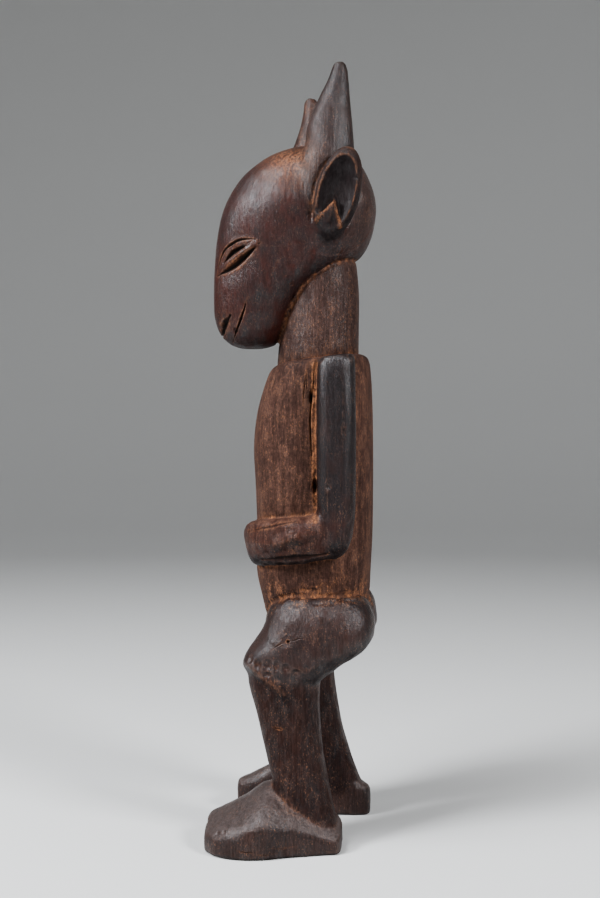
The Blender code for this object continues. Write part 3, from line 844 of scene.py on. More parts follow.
def carved_forms():
    """Every form of the figure with its group, left and right apart."""
    right_horn = mirrored(moved_back(RIGHT_HORN, horn_setback))
    right_thigh = mirrored(moved_back(THIGH, leg_setback))
    right_shin = mirrored(moved_back(SHIN, leg_setback))
    return [
        ("head", turned_head(upright_form(symmetric(HEAD), BODY_SIDES, HEAD_SQUARENESS))),
        ("horn", turned_head(upright_form(LEFT_HORN, HORN_SIDES, HORN_SQUARENESS))),
        ("horn", turned_head(upright_form(right_horn, HORN_SIDES, HORN_SQUARENESS))),
        ("ear", turned_head(ear(1))),
        ("ear", turned_head(ear(-1))),
        ("neck", upright_form(symmetric(NECK), BODY_SIDES, NECK_SQUARENESS)),
        ("torso", upright_form(symmetric(TORSO), BODY_SIDES, TORSO_SQUARENESS, shoulder_slope)),
        ("arm", upright_form(UPPER_ARM, LIMB_SIDES, UPPER_ARM_SQUARENESS, shoulder_slope)),
        ("arm", upright_form(mirrored(UPPER_ARM), LIMB_SIDES, UPPER_ARM_SQUARENESS, shoulder_slope)),
        ("forearm", forearm(1)),
        ("forearm", forearm(-1)),
        ("pelvis", upright_form(symmetric(PELVIS), BODY_SIDES, PELVIS_SQUARENESS)),
        ("thigh", upright_form(THIGH, LIMB_SIDES, LEG_SQUARENESS)),
        ("thigh", upright_form(right_thigh, LIMB_SIDES, LEG_SQUARENESS)),
        ("shin", upright_form(SHIN, LIMB_SIDES, LEG_SQUARENESS)),
        ("shin", upright_form(right_shin, LIMB_SIDES, LEG_SQUARENESS)),
        ("foot", foot(1, 0.0, 1.0, 1.0)),
        ("foot", foot(-1, RIGHT_FOOT_BACK, RIGHT_FOOT_TALLER, RIGHT_FOOT_LONGER)),
    ]


def read_from(items, name, width, kind=np.float64):
    """A property of many mesh elements as an array."""
    flat = np.empty(len(items) * width, dtype=kind)
    items.foreach_get(name, flat)
    return flat.reshape(-1, width) if width > 1 else flat


class Surface:
    """The figure's skin as arrays, in carver's units, while it is being carved."""

    def __init__(self, data, forms):
        self.data = data
        self.places = read_from(data.vertices, "co", 3)
        self.forms = forms
        pairs = read_from(data.edges, "vertices", 2, np.int32)
        both = np.concatenate((pairs, pairs[:, ::-1]))
        both = both[np.argsort(both[:, 0], kind="stable")]
        self.pairs = pairs
        self.around = both[:, 1]
        self.starts = np.searchsorted(both[:, 0], np.arange(len(self.places)))
        self.valence = np.bincount(both[:, 0], minlength=len(self.places))
        self.normals = None
        self.settle()
        self.marks = {}

    def settle(self):
        """Works the normals out afresh after the places have moved."""
        self.data.vertices.foreach_set("co", self.places.ravel())
        self.data.update()
        self.normals = read_from(self.data.vertex_normals, "vector", 3)

    def spread(self, values, times):
        """Values averaged with those around them, over and over."""
        values = values.astype(np.float32)
        share = (0.5 / self.valence).astype(np.float32).reshape((-1,) + (1,) * (values.ndim - 1))
        for _ in range(times):
            values = values / 2 + np.add.reduceat(values[self.around], self.starts, axis=0) * share
        return values.astype(float)

    def push(self, index, amount):
        """Moves some places along their normals."""
        self.places[index] += self.normals[index] * amount[:, None]

    def mark(self, name, index, strength):
        """Keeps the stronger of what a mark was and what it gets."""
        if name not in self.marks:
            self.marks[name] = np.zeros(len(self.places))
        self.marks[name][index] = np.maximum(self.marks[name][index], strength)

    def near_line(self, line, reach):
        """Which places lie near a line, how far off each is and where along the line, from 0 to 1."""
        line = np.array(line)
        inside = np.all((self.places > line.min(0) - reach) & (self.places < line.max(0) + reach), axis=1)
        index = np.nonzero(inside)[0]
        points = self.places[index]
        gap = np.full(len(index), np.inf)
        share = np.zeros(len(index))
        for step, (start, end) in enumerate(zip(line, line[1:])):
            span = end - start
            along = np.clip((points - start) @ span / (span @ span), 0, 1)
            off = np.linalg.norm(points - start - along[:, None] * span, axis=1)
            closer = off < gap
            gap[closer] = off[closer]
            share[closer] = (step + along[closer]) / (len(line) - 1)
        near = gap < reach
        return index[near], gap[near], share[near]

    def near_spot(self, spot, reach):
        """Which places lie near a spot, and how far off each is as three numbers."""
        off = self.places - np.array(spot)
        index = np.nonzero(np.linalg.norm(off, axis=1) < reach)[0]
        return index, off[index]

    def near_join(self, first, second, reach):
        """Which places lie near where two groups of forms meet, and how far off each is."""
        codes = (GROUPS.index(first), GROUPS.index(second))
        a, b = self.forms[self.pairs[:, 0]], self.forms[self.pairs[:, 1]]
        meeting = ((a == codes[0]) & (b == codes[1])) | ((a == codes[1]) & (b == codes[0]))
        spots = np.unique(self.pairs[meeting])
        if not len(spots):
            raise ValueError(f"{first} and {second} don't meet")
        flags = np.zeros(len(self.places))
        flags[spots] = 1.0
        index = np.nonzero(self.spread(flags, math.ceil(reach / FINE_GRAIN)) > 0)[0]
        seam = self.places[spots]
        gap = np.array([np.min(np.linalg.norm(seam - place, axis=1)) for place in self.places[index]])
        near = gap < reach
        return index[near], gap[near]

    def in_group(self, *names):
        """1 on the forms of some groups and 0 on the rest."""
        return np.isin(self.forms, [GROUPS.index(name) for name in names]).astype(float)

    def share_of(self, *names, times=EDGE_BLEND):
        """How far each place belongs to some groups, smooth over their edges."""
        return self.spread(self.in_group(*names), times)

    def hollow(self, times):
        """How far each place lies under the skin when that is smoothed this many times."""
        return np.sum((self.spread(self.places, times) - self.places) * self.normals, axis=1)


def on_skin(tree, side, line, place=Matrix.Identity(4)):
    """Places on the skin under a line of (y, height) seen from one side, or next to it past the outline."""
    way = place.to_3x3() @ Vector((-side, 0, 0))
    spots = []
    for y, z in line:
        spot = tree.ray_cast(place @ Vector((side * OUTSIDE, y, z)), way)[0]
        if spot is None:
            spot = tree.find_nearest(place @ Vector((0, y, z)))[0]
        spots.append(tuple(spot))
    return spots


def cut_line(surface, line, width, depth, lip, tip, fresh, dark=1.0):
    """A knife cut that tapers to its ends, with raised lips and marks for its floor, painted dark with shade,
    and for its pale edges.
    """
    index, gap, share = surface.near_line(line, width * 2)
    taper = np.maximum(np.sin(np.pi * share), tip)
    half = width / 2 * taper
    floor = np.clip(1 - gap / half, 0, 1)
    edge = np.exp(-((gap - half * 1.15) / (0.22 * width)) ** 2)
    surface.push(index, -depth * taper * floor + lip * edge * taper)
    # The cut's floor is painted dark with shade.
    surface.mark("cut_shade", index, dark * np.clip(floor * 2.0 - 0.4, 0, 1))
    surface.mark("fresh", index, fresh * edge * taper)


def raise_line(surface, line, width, height, fresh):
    """A low ridge along a line."""
    index, gap, share = surface.near_line(line, width)
    taper = np.sqrt(np.clip(np.sin(np.pi * share), 0, 1))
    crest = np.clip(1 - gap / width, 0, 1) * taper
    surface.push(index, height * crest)
    surface.mark("fresh", index, fresh * np.clip(crest * 2 - 0.8, 0, 1))


def scoop(surface, spot, radii, depth, fresh, dark=0.0):
    """A shallow oval cut, with its floor painted dark with shade as strongly as dark asks. The radii are its
    (y, height) halves.
    """
    index, off = surface.near_spot(spot, max(radii) * 1.6)
    away = np.sqrt((off[:, 1] / radii[0]) ** 2 + (off[:, 2] / radii[1]) ** 2 + (off[:, 0] / max(radii)) ** 2)
    surface.push(index, -depth * np.clip(1 - away**2, 0, 1))
    # The scoop's floor is painted dark with shade.
    surface.mark("cut_shade", index, dark * np.clip(1.4 - away * 1.4, 0, 1))
    surface.mark("fresh", index, fresh * np.exp(-((away - 1.02) / 0.16) ** 2))


def ramp(values, start, end):
    """0 at and before the start, 1 at and past the end, and smooth between."""
    share = np.clip((values - start) / (end - start), 0, 1)
    return share * share * (3 - 2 * share)


def noise_at(places, scale, seed):
    """Smooth noise from about -1 to 1 at many places. Scale is one number or one for each axis."""
    scaled = places * np.array(scale) + seed
    return np.array([noise.noise(Vector(place)) for place in scaled])


def cell_middles(places, cell, chooser):
    """Places about a cell apart, chosen from many."""
    taken = {}
    for index in chooser.permutation(len(places)):
        key = tuple(np.floor(places[index] / cell).astype(int))
        around = [(key[0] + a, key[1] + b, key[2] + c) for a, b, c in product((-1, 0, 1), repeat=3)]
        close = [taken[near] for near in around if near in taken]
        if all(np.linalg.norm(places[index] - other) > cell * CELL_APART for other in close):
            taken[key] = places[index]
    return np.array(list(taken.values()))


def knife_cells(places, cell, stretch, chooser):
    """How high each place stands between overlapping knife cuts, from 0 in a cut's middle to about 1."""
    scaled = places / np.array((1.0, 1.0, stretch))
    sample = scaled[chooser.choice(len(scaled), min(len(scaled), CELL_SAMPLES), replace=False)]
    middles = cell_middles(sample, cell, chooser)
    tilts = chooser.normal(0.0, CELL_TILT, middles.shape)
    reach = cell / 2
    slopes = tilts / reach - 2 * middles / reach**2
    starts = np.sum(middles**2, axis=1) / reach**2 - np.sum(tilts * middles, axis=1) / reach
    lowest = [np.min(block @ slopes.T + starts, axis=1) for block in np.array_split(scaled, CELL_BLOCKS)]
    return np.sum(scaled**2, axis=1) / reach**2 + np.concatenate(lowest)


def blank(forms):
    """One even skin round all the forms."""
    joined = bmesh.new()
    for _, body in forms:
        data = bpy.data.meshes.new("form")
        body.to_mesh(data)
        joined.from_mesh(data)
        bpy.data.meshes.remove(data)
    obj = as_object("blank", joined)
    skin = obj.modifiers.new("skin", "REMESH")
    skin.mode = "VOXEL"
    skin.voxel_size = FINE_GRAIN
    return as_bmesh(obj)


def form_tree(forms):
    """A search tree over all the forms, and the group of each of its faces."""
    places, faces, groups = [], [], []
    for group, body in forms:
        first = len(places)
        body.verts.index_update()
        places.extend(vert.co.copy() for vert in body.verts)
        for face in body.faces:
            faces.append([first + vert.index for vert in face.verts])
            groups.append(GROUPS.index(group))
    return BVHTree.FromPolygons(places, faces), groups


def refine(body, lines):
    """Halves the skin's faces along the finest lines."""
    tree = kdtree.KDTree(sum(len(line) for line in lines))
    for index, place in enumerate(place for line in lines for place in line):
        tree.insert(place, index)
    tree.balance()
    body.verts.ensure_lookup_table()
    near = {vert for vert in body.verts if tree.find(vert.co)[2] < REFINED_REACH}
    edges = [edge for edge in body.edges if edge.verts[0] in near and edge.verts[1] in near]
    bmesh.ops.subdivide_edges(body, edges=edges, cuts=1, use_grid_fill=True)
    return body


def sampled(line):
    """A smooth line through chosen places."""
    return smooth_between(line, LINE_STEPS)


def face_lines(tree, side):
    """The lines of one side of the face, on the skin."""
    rows = {**FACE_CUTS, **FACE_RIDGES}
    return {name: on_skin(tree, side, sampled(row[0]), HEAD_PLACE) for name, row in rows.items()}


def body_lines(tree):
    """The fine cuts and the ridges of the body, on the skin."""
    cuts = [(on_skin(tree, 1, sampled(line)), *sizes) for line, *sizes in LEFT_CUTS]
    cuts += [(on_skin(tree, -1, sampled(line)), *sizes) for line, *sizes in RIGHT_CUTS]
    ridges = [(on_skin(tree, 1, sampled(line)), *sizes) for line, *sizes in RIDGES]
    for line, *sizes in RIDGES:
        moved = [(y + leg_setback(z), z) for y, z in line]
        ridges.append((on_skin(tree, -1, sampled(moved)), *sizes))
    return cuts, ridges


def spots_on(tree, side, rows, place=Matrix.Identity(4)):
    """The place on the skin of each row's (y, height)."""
    return on_skin(tree, side, [row[0] for row in rows], place)


def carve_face(surface, lines):
    """Brow, lids, mouth and nostril of one side."""
    for name, (_, *sizes) in FACE_RIDGES.items():
        raise_line(surface, lines[name], *sizes)
    surface.settle()
    for name, (_, *sizes) in FACE_CUTS.items():
        cut_line(surface, lines[name], *sizes)


def carve_body(surface, tree, cuts, ridges):
    """Ridges, cracks, holes, the knot, the adze scoops and the nicks of the body."""
    for line, width, height, fresh in ridges:
        raise_line(surface, line, width, height, fresh)
    surface.settle()
    index, gap, _ = surface.near_line(on_skin(tree, 1, sampled(CHANNEL)), CHANNEL_WIDTH)
    surface.mark("dust", index, CHANNEL_DUST * ramp(CHANNEL_WIDTH - gap, 0.0, CHANNEL_EDGE))
    for line, width, depth, dark, fresh in cuts:
        cut_line(surface, line, width, depth, BODY_LIP, BODY_TAPER, fresh, dark)
    for spot, (_, radii, depth, dark, fresh) in zip(spots_on(tree, 1, SCOOPS), SCOOPS):
        scoop(surface, spot, radii, depth, fresh, dark)
    for spot, (_, size) in zip(spots_on(tree, 1, CHEEK_SCARS, HEAD_PLACE), CHEEK_SCARS):
        scoop(surface, spot, (size, size), SCAR_DEPTH, SCAR_FRESH)
    knot = on_skin(tree, 1, [KNOT])[0]
    index, off = surface.near_spot(knot, KNOT_REACH)
    away = np.linalg.norm(off, axis=1)
    surface.push(index, RING_HEIGHT * np.cos(away * RING_TIGHTNESS) * np.exp(-away / RING_FADE))
    radii, depth, dark, fresh = KNOT_HOLE
    scoop(surface, knot, radii, depth, fresh, dark)


def ear_edges(side):
    """The two crisp edges of the wedge in one ear's hollow."""
    place = HEAD_PLACE @ ear_frame(side)
    return [[tuple(place @ Vector((x, y * way, z))) for x, y, z in EAR_EDGE] for way in (1, -1)]


def carve_ears(surface, edges):
    """Sharpens the edges of the wedge and lays dust along them."""
    for line in edges:
        index, gap, share = surface.near_line(line, WEDGE_REACH)
        crest = np.clip(1 - gap / WEDGE_REACH, 0, 1)
        surface.push(index, WEDGE_HEIGHT * crest)
        surface.mark("fresh", index, np.clip(crest * WEDGE_BRIGHT, 0, 1) * (1 - WEDGE_FADE * share))


def carve_joins(surface):
    """The creases where forms meet, and the dust that lies in them."""
    for first, second, depth, width, dust in JOINS:
        index, gap = surface.near_join(first, second, DUST_REACH * 2)
        surface.push(index, -depth * np.clip(1 - gap / width, 0, 1))
        spots = surface.places[index]
        patches = sum(strength * noise_at(spots, scale, seed) for strength, scale, seed in DUST_PATCHES)
        patchy = np.clip(DUST_LEVEL + patches, 0, 1)
        surface.mark("dust", index, dust * patchy * np.exp(-(gap / DUST_REACH) ** 2))


def chip_edges(surface, chooser):
    """Small chips along the sharpest edges, as years of handling leave them."""
    sharp = -surface.hollow(CHIP_SMOOTHING)
    high = surface.places[:, 2] > CHIP_FROM
    likely = np.nonzero((sharp > np.quantile(sharp, CHIP_SHARPNESS)) & high)[0]
    for spot in surface.places[chooser.choice(likely, CHIPS, replace=False)].copy():
        size = chooser.uniform(*CHIP_SIZE)
        tall = size * chooser.uniform(*CHIP_STRETCH)
        depth = size * chooser.uniform(*CHIP_DEPTH)
        scoop(surface, spot, (size, tall), depth, chooser.uniform(*CHIP_FRESH))


def knife_work(surface, chooser):
    """The knife and adze cuts that cover the whole figure, in each group's own size."""
    lift = np.zeros(len(surface.places))
    weight = np.zeros(len(surface.places))
    for group, (cell, stretch, depth) in KNIFE_WORK.items():
        share = surface.share_of(group, times=KNIFE_BLEND)
        index = np.nonzero(share > LEAST_SHARE)[0]
        height = np.clip(knife_cells(surface.places[index], cell, stretch, chooser), 0, CELL_TOP)
        lift[index] += share[index] * depth * (height - CELL_TOP / 2)
        weight[index] += share[index]
    everywhere = np.arange(len(surface.places))
    surface.push(everywhere, lift / np.maximum(weight, LEAST_WEIGHT))
    surface.push(everywhere, SWELL_HEIGHT * noise_at(surface.places, SWELL_SCALE, SWELL_SEED))


def soften(surface, weight, times):
    """Smooths the skin as far as a weight asks."""
    surface.places += weight[:, None] * (surface.spread(surface.places, times) - surface.places)


def blend_forms(surface):
    """Rounds off where some forms run into each other."""
    for first, second, reach, times in BLENDS:
        weight = np.zeros(len(surface.places))
        index, gap = surface.near_join(first, second, reach)
        weight[index] = 1 - ramp(gap, reach * BLEND_FULL, reach)
        soften(surface, weight, times)


def in_frame(places, frame):
    """Places measured in a frame."""
    local = np.array(frame.inverted())
    return places @ local[:3, :3].T + local[:3, 3]


def in_ear(places, side):
    """Places measured in the frame of one ear."""
    return in_frame(places, HEAD_PLACE @ ear_frame(side))


def sink_ears(surface):
    """Lets the lower ends of the ears sink into the head."""
    for side in (1, -1):
        places = in_ear(surface.places, side)
        near = np.linalg.norm(places, axis=1) < EAR_HALF_LENGTH * EAR_SINK_REACH
        soften(surface, ramp(-places[:, 2], *EAR_END) * near, EAR_END_TIMES)


def rough_waist(surface):
    """Chopped, level tool marks round the waist and under the forearms."""
    index, gap = surface.near_join("torso", "thigh", WAIST_REACH)
    chop = np.minimum(noise_at(surface.places[index], WAIST_SCALE, WAIST_SEED), WAIST_CREST)
    surface.push(index, WAIST_DEPTH * chop * np.clip(WAIST_LEVEL - gap / WAIST_FADE, 0, 1))
    surface.mark("rough", index, np.exp(-(gap / WAIST_DUST_REACH) ** 2))


def set_vector(data, name, columns):
    """Three numbers for every point of a mesh, for the finish to read."""
    layer = data.attributes.new(name, "FLOAT_VECTOR", "POINT")
    layer.data.foreach_set("vector", np.stack(columns, axis=1).astype(np.float32).ravel())


def mark_ears(surface):
    """Marks the painted shade in the hollow of each ear, its top and its foot, and takes the creases' dust
    off the foot.
    """
    for side in (1, -1):
        places = in_ear(surface.places, side)
        out, across, down = places[:, 0], abs(places[:, 1]), -places[:, 2]
        # The hollow is painted with shade, less on the face of the wedge and none towards the ear's lower
        # end.
        off = (places - EAR_HOLLOW_CENTRE) / EAR_HOLLOW_HALVES
        inside = 1 - ramp(np.linalg.norm(off, axis=1), *EAR_HOLLOW_EDGE)
        face = ramp(out, *WEDGE_FACE[0]) * ramp(down, *WEDGE_FACE[1]) * (1 - ramp(across, *WEDGE_FACE[2]))
        inside *= (1 - WEDGE_LIGHTER * face) * (1 - ramp(down, *EAR_END))
        index = np.nonzero(inside > 0)[0]
        surface.mark("ear hollow shade", index, inside[index])
        around = np.nonzero(np.linalg.norm(places, axis=1) < EAR_HALF_LENGTH * EAR_MARK_REACH)[0]
        surface.mark("ear top", around, ramp(places[around, 2], *EAR_TOP))
        surface.mark("ear foot", around, ramp(down[around], *EAR_FOOT))
    surface.marks["dust"] *= 1 - surface.marks["ear foot"]


def place_weights(surface, head):
    """How strongly each place of PLACE_FINISH acts on the skin. Head is the skin in the head's own frame."""
    over = ramp(surface.normals[:, 2], *FACING_UP)
    under = ramp(-surface.normals[:, 2], *FACING_DOWN)
    height = surface.places[:, 2]
    skull = surface.share_of("head", times=FINISH_BLEND)
    arms = surface.share_of("forearm", "arm", times=NARROW_BLEND)
    return {
        "back of the head": ramp(head[:, 1], *HEAD_BACK) * skull,
        # Painted shade on faces turned down.
        "shaded underside": under,
        "shaded side": under * (1 - SKULL_UNSHADED * skull),
        # Painted light on the upward faces of the feet and forearms.
        "lit side": over * surface.share_of("foot", "forearm"),
        "forearm top": over * surface.share_of("forearm"),
        # Painted light and sheen on the tops of the feet.
        "lit foot top": over * surface.share_of("foot"),
        "right horn": surface.spread(surface.in_group("horn") * (surface.places[:, 0] < 0), EDGE_BLEND),
        "lower arm": surface.share_of("arm") * (1 - ramp(height, *LOWER_ARM)),
        # Painted shade under the forearms.
        "shade under the forearm": arms * (1 - ramp(height, *FOREARM_SHADE)),
        "waist": surface.marks["rough"],
    }


def finish_marks(surface):
    """Writes down where the wood is dark, red, dusty, rubbed, grey, hollow, nicked or cracked, and where
    shade and light are painted on it.
    """
    marks = surface.marks
    finish = np.array([GROUP_FINISH[name] for name in GROUPS])[surface.forms]
    ear_foot = marks["ear foot"][:, None]
    finish = surface.spread(finish * (1 - ear_foot) + np.array(GROUP_FINISH["head"]) * ear_foot, FINISH_BLEND)
    head = in_frame(surface.places, HEAD_PLACE)
    weights = place_weights(surface, head)
    for name, losses in PLACE_LOSSES.items():
        finish *= 1 - weights[name][:, None] * np.array(losses)
    for name, gains in PLACE_FINISH.items():
        finish += weights[name][:, None] * np.array(gains)
    # Dark is the patina, with painted shade added where the skin faces down and under the forearms, and taken
    # off as painted light on upward faces of the feet and forearms. Grey also holds a painted sheen on the
    # tops of the feet.
    dark, red, dusty, rubbed, grey = finish.T
    fine, broad = surface.hollow(FINE_HOLLOW[0]), surface.hollow(BROAD_HOLLOW[0])
    crown = np.exp(-(np.linalg.norm((head - CROWN) / CROWN_REACH, axis=1)) ** 2)
    rim = ramp(-fine, *RIM_SHARPNESS) * surface.share_of("ear", times=NARROW_BLEND) * marks["ear top"]
    fresh = np.maximum(np.maximum(marks["fresh"], CROWN_DUST * crown), RIM_FRESH * rim)
    set_vector(surface.data, "tones", (dark, red, dusty))
    set_vector(surface.data, "sheen", (rubbed, grey, fresh))
    # The relief's third number is the painted shade in the ear hollows.
    set_vector(surface.data, "relief", (fine / FINE_HOLLOW[1], broad / BROAD_HOLLOW[1], marks["ear hollow shade"]))
    # The first of the cuts is the painted shade on the floors of cuts, scoops and cracks.
    set_vector(surface.data, "cuts", (marks["cut_shade"], marks["dust"], marks["rough"]))


class Signal:
    """A shader value that works in an expression."""

    def __init__(self, tree, socket):
        self.tree = tree
        self.socket = socket

    def node(self, kind, settings, inputs, output=0):
        """A node of some kind, with its settings made first and then its inputs set or linked."""
        made = self.tree.nodes.new(kind)
        for name, value in settings.items():
            setattr(made, name, value)
        for name, value in inputs.items():
            if isinstance(value, Signal):
                self.tree.links.new(value.socket, made.inputs[name])
            else:
                made.inputs[name].default_value = value
        return Signal(self.tree, made.outputs[output])

    def maths(self, operation, first, second, clamp=False):
        """What a Math node makes of two values."""
        settings = {"operation": operation, "use_clamp": clamp}
        return self.node("ShaderNodeMath", settings, {0: first, 1: second})

    def __add__(self, other):
        return self.maths("ADD", self, other)

    __radd__ = __add__

    def __sub__(self, other):
        return self.maths("SUBTRACT", self, other)

    def __rsub__(self, other):
        return self.maths("SUBTRACT", other, self)

    def __mul__(self, other):
        return self.maths("MULTIPLY", self, other)

    __rmul__ = __mul__

    def clipped(self):
        """The value kept from 0 to 1."""
        return self.maths("ADD", self, 0.0, clamp=True)

    def sway(self, amount):
        """How a pattern swings about its middle, as strongly as an amount."""
        return (self - PATTERN_MIDDLE) * amount

    def between(self, start, end):
        """0 at the start, 1 at the end, and smooth between."""
        inputs = {"Value": self, "From Min": start, "From Max": end, "To Min": 0.0, "To Max": 1.0}
        return self.node("ShaderNodeMapRange", {"interpolation_type": "SMOOTHSTEP"}, inputs)

    def stretched(self, *scale):
        """A vector with each axis scaled."""
        return self.node("ShaderNodeVectorMath", {"operation": "MULTIPLY"}, {0: self, 1: scale})

    def noise(self, scale, detail, roughness):
        """Cloudy noise from 0 to 1 read at this vector."""
        inputs = {"Vector": self, "Scale": scale, "Detail": detail, "Roughness": roughness}
        return self.node("ShaderNodeTexNoise", {"noise_dimensions": "3D"}, inputs)

    def parts(self):
        """A vector's three numbers."""
        made = self.tree.nodes.new("ShaderNodeSeparateXYZ")
        self.tree.links.new(self.socket, made.inputs[0])
        return [Signal(self.tree, output) for output in made.outputs]

    def toward(self, colour, share):
        """A colour mixed with another."""
        settings = {"data_type": "RGBA", "blend_type": "MIX"}
        return self.node("ShaderNodeMix", settings, {0: share, 6: self, 7: colour}, 2)

    def times(self, colour):
        """A colour multiplied by another."""
        settings = {"data_type": "RGBA", "blend_type": "MULTIPLY"}
        return self.node("ShaderNodeMix", settings, {0: 1.0, 6: self, 7: colour}, 2)


def linear(colour):
    """A property's colour with full opacity."""
    return (*colour, 1.0)


def attribute(tree, name):
    """The three numbers that a point attribute holds."""
    made = tree.nodes.new("ShaderNodeAttribute")
    made.attribute_name = name
    return Signal(tree, made.outputs["Vector"]).parts()


def dark_wood(colours):
    """Old dark wood: patina under dust, orange in the creases, rubbed to a gloss where it is handled, with
    painted shade in cracks, ear hollows, on faces turned down and under the forearms, and painted light on
    the tops of the feet and forearms.
    """
    material = bpy.data.materials.new("dark_wood")
    material.use_nodes = True
    tree = material.node_tree
    shader = tree.nodes["Principled BSDF"]
    spot = tree.nodes.new("ShaderNodeTexCoord")
    place = Signal(tree, spot.outputs["Object"]).stretched(1 / UNIT, 1 / UNIT, 1 / UNIT)
    dark, red, dusty = attribute(tree, "tones")
    rubbed, grey, fresh = attribute(tree, "sheen")
    fine, broad, ear_hollow_shade = attribute(tree, "relief")
    cut_shade, crease, rough = attribute(tree, "cuts")

    grain, streak, cloud, patch, mottle, fleck, pore = (
        place.stretched(1.0, 1.0, stretch).noise(*sizes) for stretch, *sizes in PATTERNS.values()
    )

    # The wood's own brown and red, greyed in places, under a dark patina that comes and goes in patches. The
    # dark share also holds painted shade where the skin faces down and under the forearms, less of it on the
    # upward faces of the feet and forearms as painted light, and the grey holds a painted sheen on the tops
    # of the feet.
    deepness = dark + cloud.sway(1.4) + streak.sway(0.8) + patch.sway(1.4) + rough * mottle.sway(2.5)
    colour = place.node("ShaderNodeRGB", {}, {})
    colour.socket.default_value = linear(colours.brown)
    colour = colour.toward(linear(colours.red), (red * (0.55 + patch * 0.7)).clipped())
    colour = colour.toward(linear(colours.grey), (grey * (0.35 + mottle * 0.9) * 0.8).clipped())
    colour = colour.toward(linear(colours.deep), deepness.clipped())

    # A film of dry dust, thickest in broad hollows, and flecks of orange dust.
    film = dusty + mottle.sway(0.8) + patch.sway(1.3) + streak.sway(0.5) + broad * 0.25
    film = film.between(0.3, 1.2)
    colour = colour.toward(linear(colours.dust), film * 0.85)
    flecks = fleck.between(0.54, 0.66) * patch.between(0.36, 0.60)
    flecks = flecks * (0.20 + dusty * 0.3 + rough * 0.75 - rubbed * 0.05)
    colour = colour.toward(linear(colours.orange), flecks.clipped())

    # Orange dust that settled in small hollows, creases, the chopped waist and fresh cuts.
    loose = 0.15 + mottle.between(0.38, 0.62) * 0.9
    settled = fine.between(0.5, 2.6) * patch.between(0.42, 0.60) * (0.45 - rubbed * 0.4)
    laid = (settled + crease * 0.9 + rough * patch.between(0.45, 0.62) * 0.35 + fresh * 0.8) * loose
    colour = colour.toward(linear(colours.orange), laid.clipped() * 0.85)

    # Pale wood on worn edges, and painted shade in the ear hollows and on the floors of cuts and cracks.
    worn = (fine * -1.0).between(0.8, 3.2) * (0.12 + rubbed * 0.25)
    colour = colour.toward(linear(colours.worn), worn)
    colour = colour.toward(linear(colours.deep), (ear_hollow_shade * 0.9 - fresh).clipped())
    colour = colour.toward(linear(colours.crack_shade), (cut_shade * (0.75 + mottle * 0.5)).clipped())

    # Light and dark lines of grain, spots and bands over it all.
    lines = grain.between(0.36, 0.64)
    spots = mottle.between(0.36, 0.64)
    bands = streak.between(0.35, 0.65)
    shade = 0.50 + lines * 0.38 + spots * 0.30 + bands * 0.26
    tint = place.node("ShaderNodeCombineColor", {}, {0: shade, 1: shade, 2: shade})
    colour = colour.times(tint)
    tree.links.new(colour.socket, shader.inputs["Base Color"])

    # The gloss of handling, which dust and cracks take away, and the relief of the grain.
    matt = (0.72 - rubbed * 0.22 + film * 0.18 + mottle.sway(0.3) + laid * 0.2).clipped()
    tree.links.new(matt.socket, shader.inputs["Roughness"])
    gloss = rubbed * 0.85 - film * 0.5 - laid * 0.8 - cut_shade + patch.sway(1.5) + lines.sway(0.3)
    tree.links.new(gloss.clipped().socket, shader.inputs["Coat Weight"])
    shader.inputs["Coat Roughness"].default_value = 0.25
    shader.inputs["Coat IOR"].default_value = 1.45
    shader.inputs["Metallic"].default_value = 0.0
    shader.inputs["IOR"].default_value = 1.5
    shader.inputs["Specular IOR Level"].default_value = 0.15
    height = grain * 0.17 + streak * 0.14 + mottle * (0.32 - rubbed * 0.14) + pore * 0.05
    inputs = {"Strength": 1.0, "Distance": UNIT, "Height": height}
    bump = place.node("ShaderNodeBump", {}, inputs)
    tree.links.new(bump.socket, shader.inputs["Normal"])
    tree.links.new(bump.socket, shader.inputs["Coat Normal"])
    return material


def carve():
    """The figure's skin, carved, as a mesh in metres with the marks that its finish reads."""
    chooser = np.random.default_rng(SEED)
    forms = carved_forms()
    tree, groups = form_tree(forms)
    faces = {side: face_lines(tree, side) for side in (1, -1)}
    cuts, ridges = body_lines(tree)
    edges = ear_edges(1) + ear_edges(-1)
    fine = [*faces[1].values(), *faces[-1].values(), *edges, *(cut[0] for cut in cuts)]
    fine.append(spots_on(tree, 1, SCOOPS))
    skin = refine(blank(forms), fine)
    data = bpy.data.meshes.new(FIGURE + "_carved")
    skin.to_mesh(data)
    skin.free()
    nearest = [tree.find_nearest(vert.co)[2] for vert in data.vertices]
    surface = Surface(data, np.array(groups)[nearest])
    surface.places = surface.spread(surface.places, BLANK_TIMES)
    surface.settle()
    for name in ("cut_shade", "fresh", "dust", "rough", "ear hollow shade", "ear top", "ear foot"):
        surface.mark(name, [], 0.0)
    blend_forms(surface)
    surface.settle()
    knife_work(surface, chooser)
    surface.settle()
    rough_waist(surface)
    carve_joins(surface)
    sink_ears(surface)
    surface.settle()
    for lines in faces.values():
        carve_face(surface, lines)
    carve_body(surface, tree, cuts, ridges)
    carve_ears(surface, edges)
    surface.settle()
    chip_edges(surface, chooser)
    surface.settle()
    mark_ears(surface)
    finish_marks(surface)
    surface.places = fitted(surface.places)
    surface.settle()
    return data


def fitted(places):
    """The carved places in metres, inside the frame's box."""
    low, high = np.array(frame_low), np.array(frame_high)
    inset = np.array((CLEARANCE, CLEARANCE, 0.0)) * UNIT
    low, high = low + inset, high - inset
    start, end = places.min(0), places.max(0)
    return low + (places - start) / (end - start) * (high - low)


